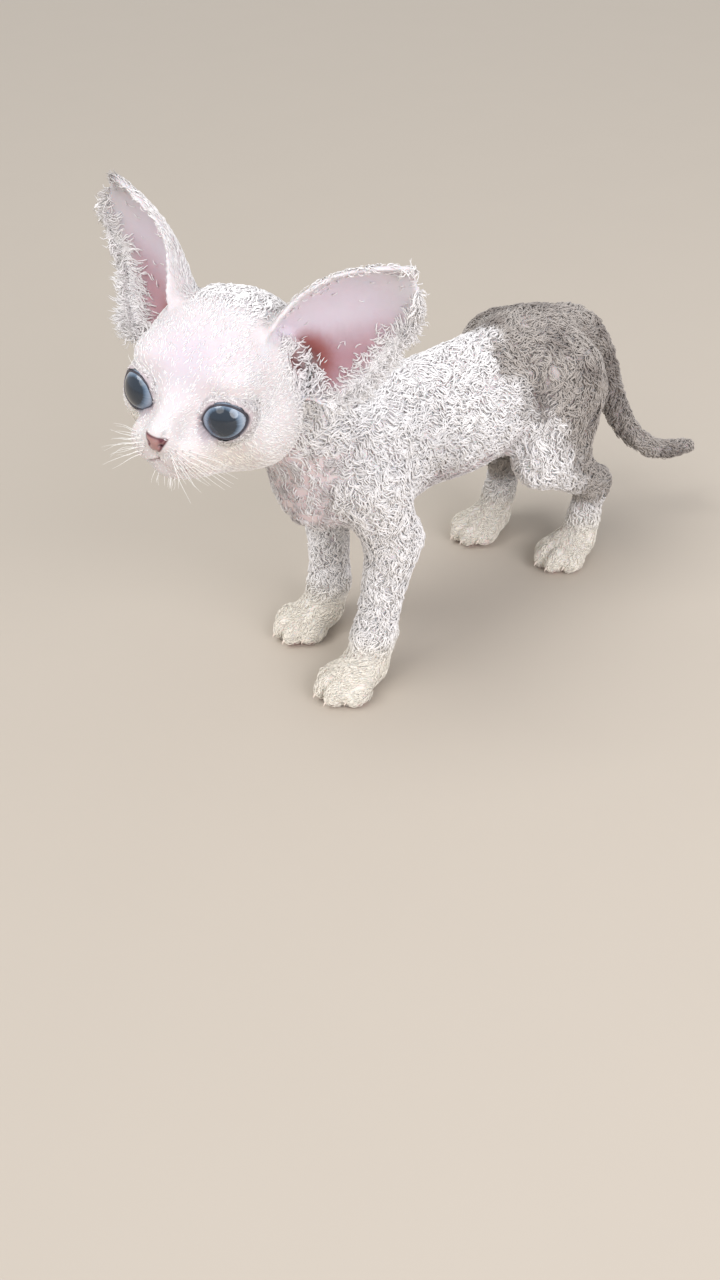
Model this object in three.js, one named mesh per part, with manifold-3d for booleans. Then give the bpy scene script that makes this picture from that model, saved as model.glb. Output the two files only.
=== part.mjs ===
// A Devon Rex kitten about eight weeks old, life size, standing square on its four paws.
// Millimetres, +Z up. The nose points to -Y and the kitten's left side is at +X.
// All the flesh follows one smooth blended field of balls, ellipsoids and tapered limbs, so the
// parts run into each other as on the living animal. Each part is a closed mesh wrapped onto that
// field round its own bone, trimmed to its own zone, with a thin gap to the next part.
// The curly coat is rounded locks that are rooted in the flesh and overlap along the lie.
import * as THREE from "three";
import { mergeVertices } from "three/addons/utils/BufferGeometryUtils.js";
import Module from "manifold-3d";

const wasm = await Module();
wasm.setup();

// Whole-animal sizes
const SEAM_GAP = 0.3;
const LEFT = 1;
const RIGHT = -1;
const SIDES = [
  { side: LEFT, word: "left" },
  { side: RIGHT, word: "right" },
];

// Trunk sizes, along the middle plane
const CHEST = { y: -27, z: 88, radii: [24, 37, 27.5] };
const BREAST = { y: -55, z: 86, radii: [17, 14, 20] };
const WITHERS = { y: -38, z: 103, radii: [14, 24, 13] };
const BELLY = { y: 18, z: 85, radii: [25, 42, 24] };
const HIPS = { y: 58, z: 92, radii: [22, 27, 23] };
const BACK = { from: [0, -30, 102], to: [0, 62, 102], radius: 12.5 };
const NECK = { from: [0, -47, 99], to: [2, -74, 127], radii: [20, 17.5] };

// Head sizes: the head is modelled round its own centre and then turned as a whole
const HEAD_CENTRE = [4, -91, 140];
const HEAD_YAW = 24;
const HEAD_PITCH = 4;
const HEAD_ROLL = 9;
const SKULL = { y: 4, z: 3.5, radii: [27, 28.5, 24] };
const EYE_RADIUS = 8.1;
const EYE_CENTRE = [13.2, -19.6, 0.6];
const EYE_OUTWARD = 17;
const EYE_UPWARD = 5;
const EYE_OPENING = { length: 14.6, height: 12, tilt: 14 };
const LID_THICKNESS = 1.15;

// Ear sizes
const EAR = { length: 51, halfWidth: 18, wall: 1.8, rimWall: 1.1, sunk: 0.2 };
const EAR_BASE = [20.5, 4, 8.5];
const EAR_OUTWARD = 42;
const EAR_TURN = 24;
const EAR_LEAN = 6;

// Leg sizes. Each joint is [sideways, along, up] and each step moves a paw along Y
const FORE = {
  shoulder: [20, -45, 90],
  elbow: [21.5, -33, 60],
  wrist: [20, -38, 21],
  paw: [20.5, -42, 9],
  radii: { shoulder: 14, elbow: 10.2, wrist: 7.9, paw: 8.6 },
  steps: { left: -7, right: 5 },
};
const HIND = {
  hip: [16.5, 62, 92],
  knee: [23, 44, 63],
  hock: [20.5, 80, 34],
  paw: [20.5, 74, 9],
  radii: { hip: 18, knee: 12, hock: 6.9, paw: 7.6 },
  steps: { left: 6, right: -6 },
};
const PAW_FLOOR = -0.7;

// Tail sizes
const TAIL_ROUTE = [
  [0, 74, 103],
  [0, 88, 101],
  [1, 101, 90],
  [3, 109, 74],
  [7, 114, 57],
  [13, 121, 42],
  [21, 131, 33],
  [29, 143, 33],
];
const TAIL_RADII = [9.5, 4.1];

// Small vector helpers on plain arrays
const add = (a, b) => [a[0] + b[0], a[1] + b[1], a[2] + b[2]];
const minus = (a, b) => [a[0] - b[0], a[1] - b[1], a[2] - b[2]];
const times = (a, s) => [a[0] * s, a[1] * s, a[2] * s];
const dot = (a, b) => a[0] * b[0] + a[1] * b[1] + a[2] * b[2];
const cross = (a, b) => [
  a[1] * b[2] - a[2] * b[1],
  a[2] * b[0] - a[0] * b[2],
  a[0] * b[1] - a[1] * b[0],
];
const size = (a) => Math.hypot(a[0], a[1], a[2]);
const unit = (a) => times(a, 1 / size(a));
const between = (a, b, t) => add(times(a, 1 - t), times(b, t));
const mirrored = (a, side) => [a[0] * side, a[1], a[2]];
const along = (a, dy) => [a[0], a[1] + dy, a[2]];
const radians = THREE.MathUtils.degToRad;
const mix = THREE.MathUtils.lerp;

// Fields: each gives a distance that is negative inside the flesh
function ball(centre, radius) {
  return (p) => size(minus(p, centre)) - radius;
}

function ellipsoid(centre, radii, turn = [0, 0, 0]) {
  const rotation = new THREE.Matrix4().makeRotationFromEuler(new THREE.Euler(...turn.map(radians)));
  const e = rotation.elements;
  return (p) => {
    const d = minus(p, centre);
    const q = [
      e[0] * d[0] + e[1] * d[1] + e[2] * d[2],
      e[4] * d[0] + e[5] * d[1] + e[6] * d[2],
      e[8] * d[0] + e[9] * d[1] + e[10] * d[2],
    ];
    const scaled = Math.hypot(q[0] / radii[0], q[1] / radii[1], q[2] / radii[2]);
    const steep = Math.hypot(q[0] / radii[0] ** 2, q[1] / radii[1] ** 2, q[2] / radii[2] ** 2);
    return steep < 1e-9 ? -Math.min(...radii) : (scaled * (scaled - 1)) / steep;
  };
}

function limb(from, to, startRadius, endRadius) {
  const axis = minus(to, from);
  const l2 = dot(axis, axis);
  const rr = startRadius - endRadius;
  const a2 = l2 - rr * rr;
  return (p) => {
    const pa = minus(p, from);
    const y = dot(pa, axis);
    const z = y - l2;
    const off = minus(times(pa, l2), times(axis, y));
    const x2 = dot(off, off);
    const y2 = y * y * l2;
    const z2 = z * z * l2;
    const k = Math.sign(rr) * rr * rr * x2;
    if (Math.sign(z) * a2 * z2 > k) return Math.sqrt(x2 + z2) / l2 - endRadius;
    if (Math.sign(y) * a2 * y2 < k) return Math.sqrt(x2 + y2) / l2 - startRadius;
    return (Math.sqrt((x2 * a2) / l2) + y * rr) / l2 - startRadius;
  };
}

function melt(a, b, softness) {
  const h = Math.max(softness - Math.abs(a - b), 0) / softness;
  return Math.min(a, b) - (h * h * softness) / 4;
}

function blend(fields, softness) {
  return (p) => fields.reduce((found, field) => melt(found, field(p), softness), 1e3);
}

// The trunk: rib cage, belly, hips and the line of the back
const trunkField = blend(
  [
    ellipsoid([0, CHEST.y, CHEST.z], CHEST.radii),
    ellipsoid([0, BREAST.y, BREAST.z], BREAST.radii),
    ellipsoid([0, WITHERS.y, WITHERS.z], WITHERS.radii),
    ellipsoid([0, BELLY.y, BELLY.z], BELLY.radii),
    ellipsoid([0, HIPS.y, HIPS.z], HIPS.radii),
    limb(BACK.from, BACK.to, BACK.radius, BACK.radius),
  ],
  9,
);
const neckField = limb(NECK.from, NECK.to, ...NECK.radii);

// The head's own frame, turned towards one side, lifted and tilted
const headMatrix = new THREE.Matrix4().compose(
  new THREE.Vector3(...HEAD_CENTRE),
  new THREE.Quaternion().setFromEuler(
    new THREE.Euler(radians(-HEAD_PITCH), radians(HEAD_ROLL), radians(HEAD_YAW), "ZXY"),
  ),
  new THREE.Vector3(1, 1, 1),
);
const headInverse = headMatrix.clone().invert();
const toWorld = (p) => new THREE.Vector3(...p).applyMatrix4(headMatrix).toArray();
const toHead = (p) => {
  const e = headInverse.elements;
  return [
    e[0] * p[0] + e[4] * p[1] + e[8] * p[2] + e[12],
    e[1] * p[0] + e[5] * p[1] + e[9] * p[2] + e[13],
    e[2] * p[0] + e[6] * p[1] + e[10] * p[2] + e[14],
  ];
};

// The skull, cheeks, muzzle, chin and the lids' swelling round each eye
function faceSide(side) {
  const s = (x, y, z) => [side * x, y, z];
  return [
    ellipsoid(s(16.5, -6, -7.5), [13.5, 15, 13]),
    ellipsoid(s(11, -17, 10.5), [9.5, 8, 6.5]),
    limb(s(14, -2, -14), s(5.5, -22, -16.5), 9.5, 6.2),
  ];
}
const skullField = blend(
  [
    ellipsoid([0, SKULL.y, SKULL.z], SKULL.radii),
    ...faceSide(LEFT),
    ...faceSide(RIGHT),
    limb([0, -18, 4], [0, -30, -5], 9, 6.5),
    ellipsoid([0, -24, -9], [12.5, 11, 9.5]),
  ],
  7,
);
const muzzleField = blend(
  [
    ellipsoid([6.1, -29.5, -10.6], [7.2, 7.4, 6.1], [0, 0, -14]),
    ellipsoid([-6.1, -29.5, -10.6], [7.2, 7.4, 6.1], [0, 0, 14]),
    ellipsoid([0, -27, -16.8], [7, 7.4, 5.2]),
    limb([0, -27, 0], [0, -35, -4.4], 5.2, 3.6),
    ellipsoid([0, -36, -5.6], [4, 3.3, 2.9]),
  ],
  2.4,
);
const lidField = blend(
  SIDES.map(({ side }) => ball(mirrored(EYE_CENTRE, side), EYE_RADIUS + LID_THICKNESS)),
  1,
);
const innerCorner = blend(
  SIDES.map(({ side }) => ellipsoid([side * 7.4, -32.6, 0.5], [2.4, 3.8, 4.4])),
  1,
);
const headField = (p) => {
  const q = toHead(p);
  const bone = melt(skullField(q), muzzleField(q), 4.5);
  const hollow = -melt(-bone, innerCorner(q), 3.2);
  return melt(hollow, lidField(q), 2.2);
};

// A fore leg: shoulder blade, upper arm, fore arm and a broad paw with four toes
function pawFields(palm, heading, width, length) {
  const toe = (sideways, forward, radii) =>
    ellipsoid([palm[0] + sideways * width, palm[1] - forward * length, radii[2] + PAW_FLOOR], radii);
  const toes = [
    toe(-0.32, 0.95, [4, 7, 5.5]),
    toe(0.32, 0.95, [4, 7, 5.5]),
    toe(-0.86 + heading, 0.66, [3.8, 6.6, 5]),
    toe(0.86 + heading, 0.66, [3.8, 6.6, 5]),
  ];
  const sole = ellipsoid([palm[0], palm[1] - 0.3 * length, 7 + PAW_FLOOR], [9.4, 11, 7]);
  return (p) => melt(blend(toes, 1.1)(p), sole(p), 2);
}

function foreJoints(side, word) {
  const step = FORE.steps[word];
  return {
    shoulder: mirrored(FORE.shoulder, side),
    elbow: along(mirrored(FORE.elbow, side), 0.3 * step),
    wrist: along(mirrored(FORE.wrist, side), 0.9 * step),
    paw: along(mirrored(FORE.paw, side), step),
  };
}

function foreField(side, word) {
  const j = foreJoints(side, word);
  const r = FORE.radii;
  const arm = blend(
    [
      ellipsoid(add(j.shoulder, [-2 * side, 6, 4]), [9, 17, 19]),
      limb(j.shoulder, j.elbow, r.shoulder, r.elbow),
      ball(add(j.elbow, [0, 5, 2.5]), 7),
      limb(j.elbow, j.wrist, r.elbow, r.wrist),
      limb(j.wrist, j.paw, r.wrist, r.paw),
    ],
    5,
  );
  const paw = pawFields(j.paw, 0.05 * side, 10, 19);
  return (p) => melt(arm(p), paw(p), 4);
}

// A hind leg: thigh, hamstring, shank, hock and a longer foot
function hindJoints(side, word) {
  const step = HIND.steps[word];
  return {
    hip: mirrored(HIND.hip, side),
    knee: along(mirrored(HIND.knee, side), 0.35 * step),
    hock: along(mirrored(HIND.hock, side), 0.9 * step),
    paw: along(mirrored(HIND.paw, side), step),
  };
}

function hindField(side, word) {
  const j = hindJoints(side, word);
  const r = HIND.radii;
  const leg = blend(
    [
      limb(j.hip, j.knee, r.hip, r.knee),
      limb(add(j.hip, [side, 12, -8]), add(j.knee, [-side, 21, -4]), 12, 8),
      limb(j.knee, j.hock, r.knee - 1, r.hock),
      limb(add(j.knee, [0, 20, -6]), j.hock, 6.5, 5.5),
      ball(add(j.hock, [0, 2.5, 1.5]), 5.6),
      limb(j.hock, j.paw, r.hock, r.paw),
    ],
    5,
  );
  const paw = pawFields(along(j.paw, -1), 0.04 * side, 9.4, 18);
  return (p) => melt(leg(p), paw(p), 4);
}

// The tail, a chain of tapered lengths along one smooth curve
const tailCurve = new THREE.CatmullRomCurve3(TAIL_ROUTE.map((p) => new THREE.Vector3(...p)));
const tailRadius = (t) => mix(TAIL_RADII[0], TAIL_RADII[1], Math.pow(t, 0.75));
const TAIL_LINKS = 12;
const tailField = blend(
  Array.from({ length: TAIL_LINKS }, (_, i) => {
    const start = i / TAIL_LINKS;
    const end = (i + 1) / TAIL_LINKS;
    return limb(
      tailCurve.getPointAt(start).toArray(),
      tailCurve.getPointAt(end).toArray(),
      tailRadius(start),
      tailRadius(end),
    );
  }),
  2,
);

// The whole animal as one field
const foreFields = SIDES.map(({ side, word }) => foreField(side, word));
const hindFields = SIDES.map(({ side, word }) => hindField(side, word));
function kittenField(p) {
  let body = melt(trunkField(p), neckField(p), 12);
  for (const field of foreFields) body = melt(body, field(p), 8);
  for (const field of hindFields) body = melt(body, field(p), 8);
  body = melt(body, tailField(p), 7);
  return melt(body, headField(p), 7);
}

// Walks out from a point until it leaves the flesh, or stops at the reach
function surfaceFrom(origin, direction, reach, field = kittenField, level = 0) {
  const STEP = 0.9;
  let inside = 0;
  let outside = STEP;
  while (outside < reach && field(add(origin, times(direction, outside))) < level) {
    inside = outside;
    outside += STEP;
  }
  if (outside >= reach) return reach;
  for (let i = 0; i < 9; i++) {
    const middle = (inside + outside) / 2;
    if (field(add(origin, times(direction, middle))) < level) inside = middle;
    else outside = middle;
  }
  return (inside + outside) / 2;
}

// Wraps a sphere's grid round a bone: caps at both ends, rings between, each vertex walked out
function wrapped(bone, { sides, rings, caps, reach, across = [1, 0, 0], field, level }) {
  const grid = new THREE.SphereGeometry(1, sides, rings);
  grid.deleteAttribute("normal");
  grid.deleteAttribute("uv");
  const place = grid.attributes.position;
  const perRing = sides + 1;
  for (let i = 0; i < place.count; i++) {
    const ring = Math.floor(i / perRing);
    const turn = ((i % perRing) % sides) / sides;
    const fromStart = Math.min(ring / caps, 1);
    const fromEnd = Math.min((rings - ring) / caps, 1);
    const share = Math.min(Math.max((ring - caps) / (rings - 2 * caps), 0), 1);
    const origin = bone.at(share);
    const forward = unit(bone.heading(share));
    const right = unit(minus(across, times(forward, dot(across, forward))));
    const up = cross(forward, right);
    const tip = ring < caps ? -Math.cos((fromStart * Math.PI) / 2) : Math.cos((fromEnd * Math.PI) / 2);
    const girth = Math.sqrt(Math.max(0, 1 - tip * tip));
    const spoke = add(
      times(right, Math.cos(turn * 2 * Math.PI)),
      times(up, Math.sin(turn * 2 * Math.PI)),
    );
    const direction = add(times(forward, tip), times(spoke, girth));
    const far = surfaceFrom(origin, direction, reach, field, level);
    place.setXYZ(i, ...add(origin, times(direction, far)));
  }
  return solid(grid);
}

function straightBone(from, to) {
  return { at: (t) => between(from, to, t), heading: () => minus(to, from) };
}

function curvedBone(curve, start, end) {
  return {
    at: (t) => curve.getPointAt(mix(start, end, t)).toArray(),
    heading: (t) => curve.getTangentAt(mix(start, end, t)).toArray(),
  };
}

// Between three.js geometry and closed solids
function solid(geometry, matrix) {
  const bare = new THREE.BufferGeometry();
  bare.setAttribute("position", geometry.getAttribute("position"));
  if (geometry.index) bare.setIndex(geometry.index);
  if (matrix) bare.applyMatrix4(matrix);
  const merged = mergeVertices(bare, 1e-4);
  const corners = merged.index.array;
  const kept = [];
  for (let i = 0; i < corners.length; i += 3) {
    const [a, b, c] = corners.slice(i, i + 3);
    if (a !== b && b !== c && a !== c) kept.push(a, b, c);
  }
  const mesh = new wasm.Mesh({
    numProp: 3,
    vertProperties: new Float32Array(merged.attributes.position.array),
    triVerts: new Uint32Array(kept),
  });
  const made = new wasm.Manifold(mesh);
  if (made.volume() > 0) return made;
  for (let i = 0; i < kept.length; i += 3) [kept[i + 1], kept[i + 2]] = [kept[i + 2], kept[i + 1]];
  return new wasm.Manifold(new wasm.Mesh({ ...mesh, numProp: 3, triVerts: new Uint32Array(kept) }));
}

function largestBody(body) {
  return body
    .decompose()
    .reduce((most, piece) => (piece.volume() > most.volume() ? piece : most));
}

function geometryOf(body) {
  const mesh = body.getMesh();
  const geometry = new THREE.BufferGeometry();
  geometry.setAttribute("position", new THREE.BufferAttribute(mesh.vertProperties, 3));
  geometry.setIndex(new THREE.BufferAttribute(mesh.triVerts, 1));
  geometry.computeVertexNormals();
  return geometry;
}

// Zones that part the flesh. Each grows by half a gap or shrinks by it, so neighbours stay clear
const HUGE = 400;
function halfSpace(point, normal, shift) {
  const n = unit(normal);
  const centre = add(point, times(n, HUGE / 2 + shift));
  const turn = new THREE.Quaternion().setFromUnitVectors(new THREE.Vector3(0, 0, 1), new THREE.Vector3(...n));
  const matrix = new THREE.Matrix4().compose(new THREE.Vector3(...centre), turn, new THREE.Vector3(1, 1, 1));
  return solid(new THREE.BoxGeometry(HUGE, HUGE, HUGE), matrix);
}

function ovalZone({ centre, radii, lean }, grow) {
  const turn = new THREE.Quaternion().setFromEuler(new THREE.Euler(...lean.map(radians)));
  const scale = new THREE.Vector3(...radii.map((r) => r + grow));
  const matrix = new THREE.Matrix4().compose(new THREE.Vector3(...centre), turn, scale);
  return solid(new THREE.SphereGeometry(1, 20, 12), matrix);
}

const HALF_GAP = SEAM_GAP / 2;
const aboveFloor = halfSpace([0, 0, 0], [0, 0, 1], 0);

// Where each leg leaves the trunk
const shoulderZone = (side) => ({ centre: [side * 34, -38, 75], radii: [22.5, 25, 35], lean: [0, 18 * side, 0] });
const thighZone = (side) => ({ centre: [side * 32, 63, 74], radii: [24, 33, 36], lean: [0, 20 * side, 0] });
const inZone = (p, { centre, radii, lean }) => ellipsoid(centre, radii, lean)(p) < 0;

// Planes across the limbs, the neck and the tail, each facing outwards from the trunk
const neckPlane = { point: [0, -55, 107], normal: [0, -0.72, 0.69] };
const headPlane = { point: [2, -71, 125], normal: [0.1, -0.8, 0.6] };
const tailPlanes = [0.13, 0.42, 0.7].map((t) => ({
  point: tailCurve.getPointAt(t).toArray(),
  normal: tailCurve.getTangentAt(t).toArray(),
}));
const beyond = (plane) => halfSpace(plane.point, plane.normal, HALF_GAP);
const before = (plane) => halfSpace(plane.point, times(plane.normal, -1), HALF_GAP);

// The curly coat: each lock is a rounded, tapered wave that rises from its root to its tip
const LOCK = { thick: 3, sunk: 1.2, lift: -0.2, curl: 0.22, jitter: 0.35 };
const LOCK_SIDES = 5;
const LOCK_RINGS = 4;
let drawn = 20240;
function draw() {
  drawn = (drawn * 16807) % 2147483647;
  return drawn / 2147483647;
}
const drawAround = (spread) => (draw() - 0.5) * 2 * spread;

function outwardAt(p) {
  const H = 0.4;
  const slope = [0, 1, 2].map((axis) => {
    const step = [0, 0, 0];
    step[axis] = H;
    return kittenField(add(p, step)) - kittenField(minus(p, step));
  });
  return unit(slope);
}

function lock(root, lie, length, width) {
  const up = outwardAt(root);
  const swung = add(unit(lie), times(cross(up, unit(lie)), drawAround(LOCK.jitter)));
  const ahead = unit(minus(swung, times(up, dot(swung, up))));
  const across = cross(up, ahead);
  const bow = (draw() < 0.5 ? -1 : 1) * LOCK.curl * width;
  const grown = 1 + drawAround(0.12);
  const grid = new THREE.SphereGeometry(1, LOCK_SIDES, LOCK_RINGS);
  const place = grid.attributes.position;
  for (let i = 0; i < place.count; i++) {
    const fromRoot = (1 - place.getY(i)) / 2;
    const bed = add(root, times(ahead, length * grown * (fromRoot - 0.4)));
    const ground = add(bed, times(up, -kittenField(bed)));
    const rise = mix(-LOCK.sunk, LOCK.lift, Math.sqrt(fromRoot));
    const middle = add(add(ground, times(up, rise)), times(across, bow * Math.sin(fromRoot * 1.5 * Math.PI)));
    const taper = mix(1.15, 0.7, fromRoot);
    const sideways = times(across, (place.getX(i) * taper * width) / 2);
    place.setXYZ(i, ...add(add(middle, sideways), times(up, place.getZ(i) * taper * LOCK.thick)));
  }
  return solid(grid);
}

// Rows of locks round a bone, staggered like bricks, from one angle to another round it
function locksRound(bone, { rows, columns, angles = [0, 360], lie, length, width, reach, grows = () => true }) {
  const locks = [];
  for (let row = 0; row < rows; row++) {
    for (let column = 0; column < columns; column++) {
      const share = (row + 0.5 + drawAround(0.15)) / rows;
      const place = (column + 0.25 + 0.5 * (row % 2) + drawAround(0.1)) / columns;
      const turn = radians(mix(...angles, place));
      const origin = bone.at(share);
      const forward = unit(bone.heading(share));
      const right = unit(minus([1, 0, 0], times(forward, forward[0])));
      const up = cross(right, forward);
      const direction = add(times(right, Math.cos(turn)), times(up, Math.sin(turn)));
      const far = surfaceFrom(origin, direction, reach);
      const root = add(origin, times(direction, far));
      if (far < reach && grows(root)) locks.push(lock(root, lie(share), length, width));
    }
  }
  return locks.reduce((whole, piece) => whole.add(piece));
}

// Mouth, nostrils and the cleft between them, cut into the muzzle
function muzzlePoint(x, z) {
  const origin = [x * 0.5, -24, z * 0.8 - 3];
  const direction = unit([x * 0.5, -12, z * 0.2 + 3]);
  const field = (p) => headField(toWorld(p));
  return add(origin, times(direction, surfaceFrom(origin, direction, 30, field)));
}

function groove(route, radius) {
  const curve = new THREE.CatmullRomCurve3(route.map((p) => new THREE.Vector3(...p)));
  const section = new THREE.Shape();
  section.absarc(0, 0, radius, 0, 2 * Math.PI);
  const cut = new THREE.ExtrudeGeometry(section, { steps: 6, curveSegments: 2, extrudePath: curve });
  return solid(cut, headMatrix);
}

// Materials
const material = (colour, roughness) =>
  new THREE.MeshStandardMaterial({ color: colour, roughness, metalness: 0 });
const whiteCoat = material("#eeecea", 0.9);
const greyCoat = material("#a39c97", 0.9);
const pinkSkin = material("#e9cfcd", 0.75);
const eyeGlass = material("#5d7086", 0.15);

const kitten = new THREE.Group();
function addNode(name, body, look) {
  const mesh = new THREE.Mesh(geometryOf(largestBody(body)), look);
  mesh.name = name;
  kitten.add(mesh);
}

// Head, with eye sockets and openings between the lids
function almondShape({ length, height }) {
  const shape = new THREE.Shape();
  const bow = height * 0.68;
  shape.moveTo(-length / 2, -height * 0.08);
  shape.bezierCurveTo(-length * 0.3, bow, length * 0.26, bow, length / 2, height * 0.1);
  shape.bezierCurveTo(length * 0.3, -bow, -length * 0.22, -bow, -length / 2, -height * 0.08);
  return shape;
}

function gazeMatrix(side) {
  const turn = new THREE.Quaternion().setFromEuler(
    new THREE.Euler(radians(90 - EYE_UPWARD), 0, radians(EYE_OUTWARD * side), "ZXY"),
  );
  return headMatrix
    .clone()
    .multiply(
      new THREE.Matrix4().compose(
        new THREE.Vector3(...mirrored(EYE_CENTRE, side)),
        turn,
        new THREE.Vector3(1, 1, 1),
      ),
    );
}

function lidOpening(side) {
  const almond = new THREE.ExtrudeGeometry(almondShape(EYE_OPENING), {
    depth: EYE_RADIUS * 2,
    bevelEnabled: false,
    curveSegments: 7,
  });
  almond.rotateZ(radians(EYE_OPENING.tilt));
  if (side === RIGHT) {
    almond.scale(-1, 1, 1);
  }
  return solid(almond, gazeMatrix(side));
}

function eyeball(side, grow) {
  const centre = toWorld(mirrored(EYE_CENTRE, side));
  const matrix = new THREE.Matrix4().makeTranslation(...centre);
  return solid(new THREE.SphereGeometry(EYE_RADIUS + grow, 16, 11), matrix);
}

const headBone = straightBone(toWorld([0, 3, 1]), toWorld([0, -20, -4]));
const headGrid = { sides: 34, rings: 34, caps: 15, reach: 50 };
let head = wrapped(headBone, headGrid);
for (const { side } of SIDES) head = head.subtract(eyeball(side, SEAM_GAP)).subtract(lidOpening(side));
const MOUTH = [
  [1, -13.2],
  [4.2, -15],
  [7.8, -14.6],
  [10.4, -13],
];
for (const { side } of SIDES) {
  head = head.subtract(groove(MOUTH.map(([x, z]) => muzzlePoint(side * x, z)), 0.55));
  const nostril = new THREE.SphereGeometry(1, 6, 5);
  nostril.scale(0.75, 1.6, 0.55);
  nostril.rotateZ(radians(35 * side));
  nostril.translate(side * 2.1, -38.7, -5.7);
  head = head.subtract(solid(nostril, headMatrix));
}
head = head.subtract(groove([muzzlePoint(0, -8.4), muzzlePoint(0, -11), muzzlePoint(0, -13)], 0.5));

// Ears: huge open cups, set low and wide
function earSolid(side, grow = 0) {
  const slab = new THREE.BoxGeometry(2, 1, 2, 10, 10, 1);
  const place = slab.attributes.position;
  const waist = (v) => mix(0.66, 1, THREE.MathUtils.smoothstep(v, -0.2, 0.42));
  const dome = (v) => Math.pow(1 - Math.pow(Math.max(v, 0), 3.6), 0.5);
  const halfWidth = (v) => EAR.halfWidth * waist(v) * dome(v) + 0.5;
  const curl = (v) => radians(mix(112, 48, THREE.MathUtils.smoothstep(v, -0.15, 0.7)));
  const surface = (u, v) => {
    const round = halfWidth(v) / Math.sin(Math.min(curl(v), Math.PI / 2));
    const bend = u * curl(v);
    const lean = 5 * Math.sin(Math.PI * Math.max(v, 0)) - 3 * v;
    return [
      side * (round * Math.sin(bend) + 2.5 * u * u * v),
      -round * (1 - Math.cos(bend)) + lean + 9,
      EAR.length * v - 3 * u * u * v,
    ];
  };
  for (let i = 0; i < place.count; i++) {
    const u = place.getX(i) * (1 + grow / EAR.halfWidth);
    const v = mix(-EAR.sunk, 0.985, 1 - Math.pow(0.5 - place.getY(i), 1.3));
    const centre = surface(u, v);
    const acrossEar = minus(surface(u + 0.01, v), surface(u - 0.01, v));
    const upEar = minus(surface(u, v + 0.01), surface(u, v - 0.01));
    const outward = unit(cross(upEar, acrossEar));
    const rim = Math.max(Math.abs(u) ** 3, Math.max(v, 0) ** 4);
    const half = mix(EAR.wall, EAR.rimWall, rim) / 2 + grow;
    place.setXYZ(i, ...add(centre, times(outward, half * place.getZ(i))));
  }
  const seat = new THREE.Matrix4().compose(
    new THREE.Vector3(...mirrored(EAR_BASE, side)),
    new THREE.Quaternion().setFromEuler(
      new THREE.Euler(radians(-EAR_LEAN), radians(EAR_OUTWARD * side), radians(EAR_TURN * side), "YXZ"),
    ),
    new THREE.Vector3(1, 1, 1),
  );
  return solid(slab, headMatrix.clone().multiply(seat));
}

const clearOfHead = wrapped(headBone, { ...headGrid, level: SEAM_GAP });
for (const { side, word } of SIDES) addNode("ear_" + word, earSolid(side).subtract(clearOfHead), pinkSkin);

// The nape's locks, between and behind the ears
let nape = locksRound(straightBone(toWorld([0, 2, 2]), toWorld([0, 14, -4])), {
  rows: 2,
  columns: 3,
  angles: [30, 150],
  lie: () => [0.1, 0.75, -0.65],
  length: 15,
  width: 11,
  reach: 45,
});
for (const { side } of SIDES) nape = nape.subtract(earSolid(side, SEAM_GAP * 1.5));
head = head.add(nape).intersect(beyond(headPlane));
addNode("head", head, whiteCoat);
for (const { side, word } of SIDES) addNode("eye_" + word, eyeball(side, 0), eyeGlass);

// Neck
const neckBone = straightBone([0, -42, 95], [3, -82, 134]);
const neck = wrapped(neckBone, { sides: 20, rings: 10, caps: 2, reach: 34 }).add(
  locksRound(straightBone([0, -52, 104], [3, -74, 126]), {
    rows: 1,
    columns: 6,
    angles: [-25, 205],
    lie: () => [0, 0.75, -0.65],
    length: 17,
    width: 13,
    reach: 34,
  }),
);
addNode(
  "neck",
  neck.intersect(beyond(neckPlane)).intersect(before(headPlane)),
  whiteCoat,
);

// Trunk, with room taken out for the shoulders, thighs, neck and tail
const spine = new THREE.CatmullRomCurve3(
  [
    [0, -52, 89],
    [0, -20, 90],
    [0, 20, 88],
    [0, 66, 92],
  ].map((p) => new THREE.Vector3(...p)),
);
let trunk = wrapped(curvedBone(spine, 0, 1), { sides: 24, rings: 22, caps: 5, reach: 33 });
const offTheLegs = (p) => SIDES.every(({ side }) => !inZone(p, shoulderZone(side)) && !inZone(p, thighZone(side)));
trunk = trunk.add(
  locksRound(curvedBone(spine, 0.03, 1), {
    rows: 5,
    columns: 4,
    angles: [-12, 192],
    lie: () => [0, 1, -0.25],
    length: 23,
    width: 17,
    reach: 40,
    grows: offTheLegs,
  }),
);
for (const { side } of SIDES) {
  trunk = trunk.subtract(ovalZone(shoulderZone(side), HALF_GAP)).subtract(ovalZone(thighZone(side), HALF_GAP));
}
const underBelly = { point: [0, 0, 59], normal: [0, 0, -1] };
trunk = trunk.intersect(before(neckPlane)).intersect(before(tailPlanes[0])).intersect(before(underBelly));
addNode("trunk", trunk, whiteCoat);

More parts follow.
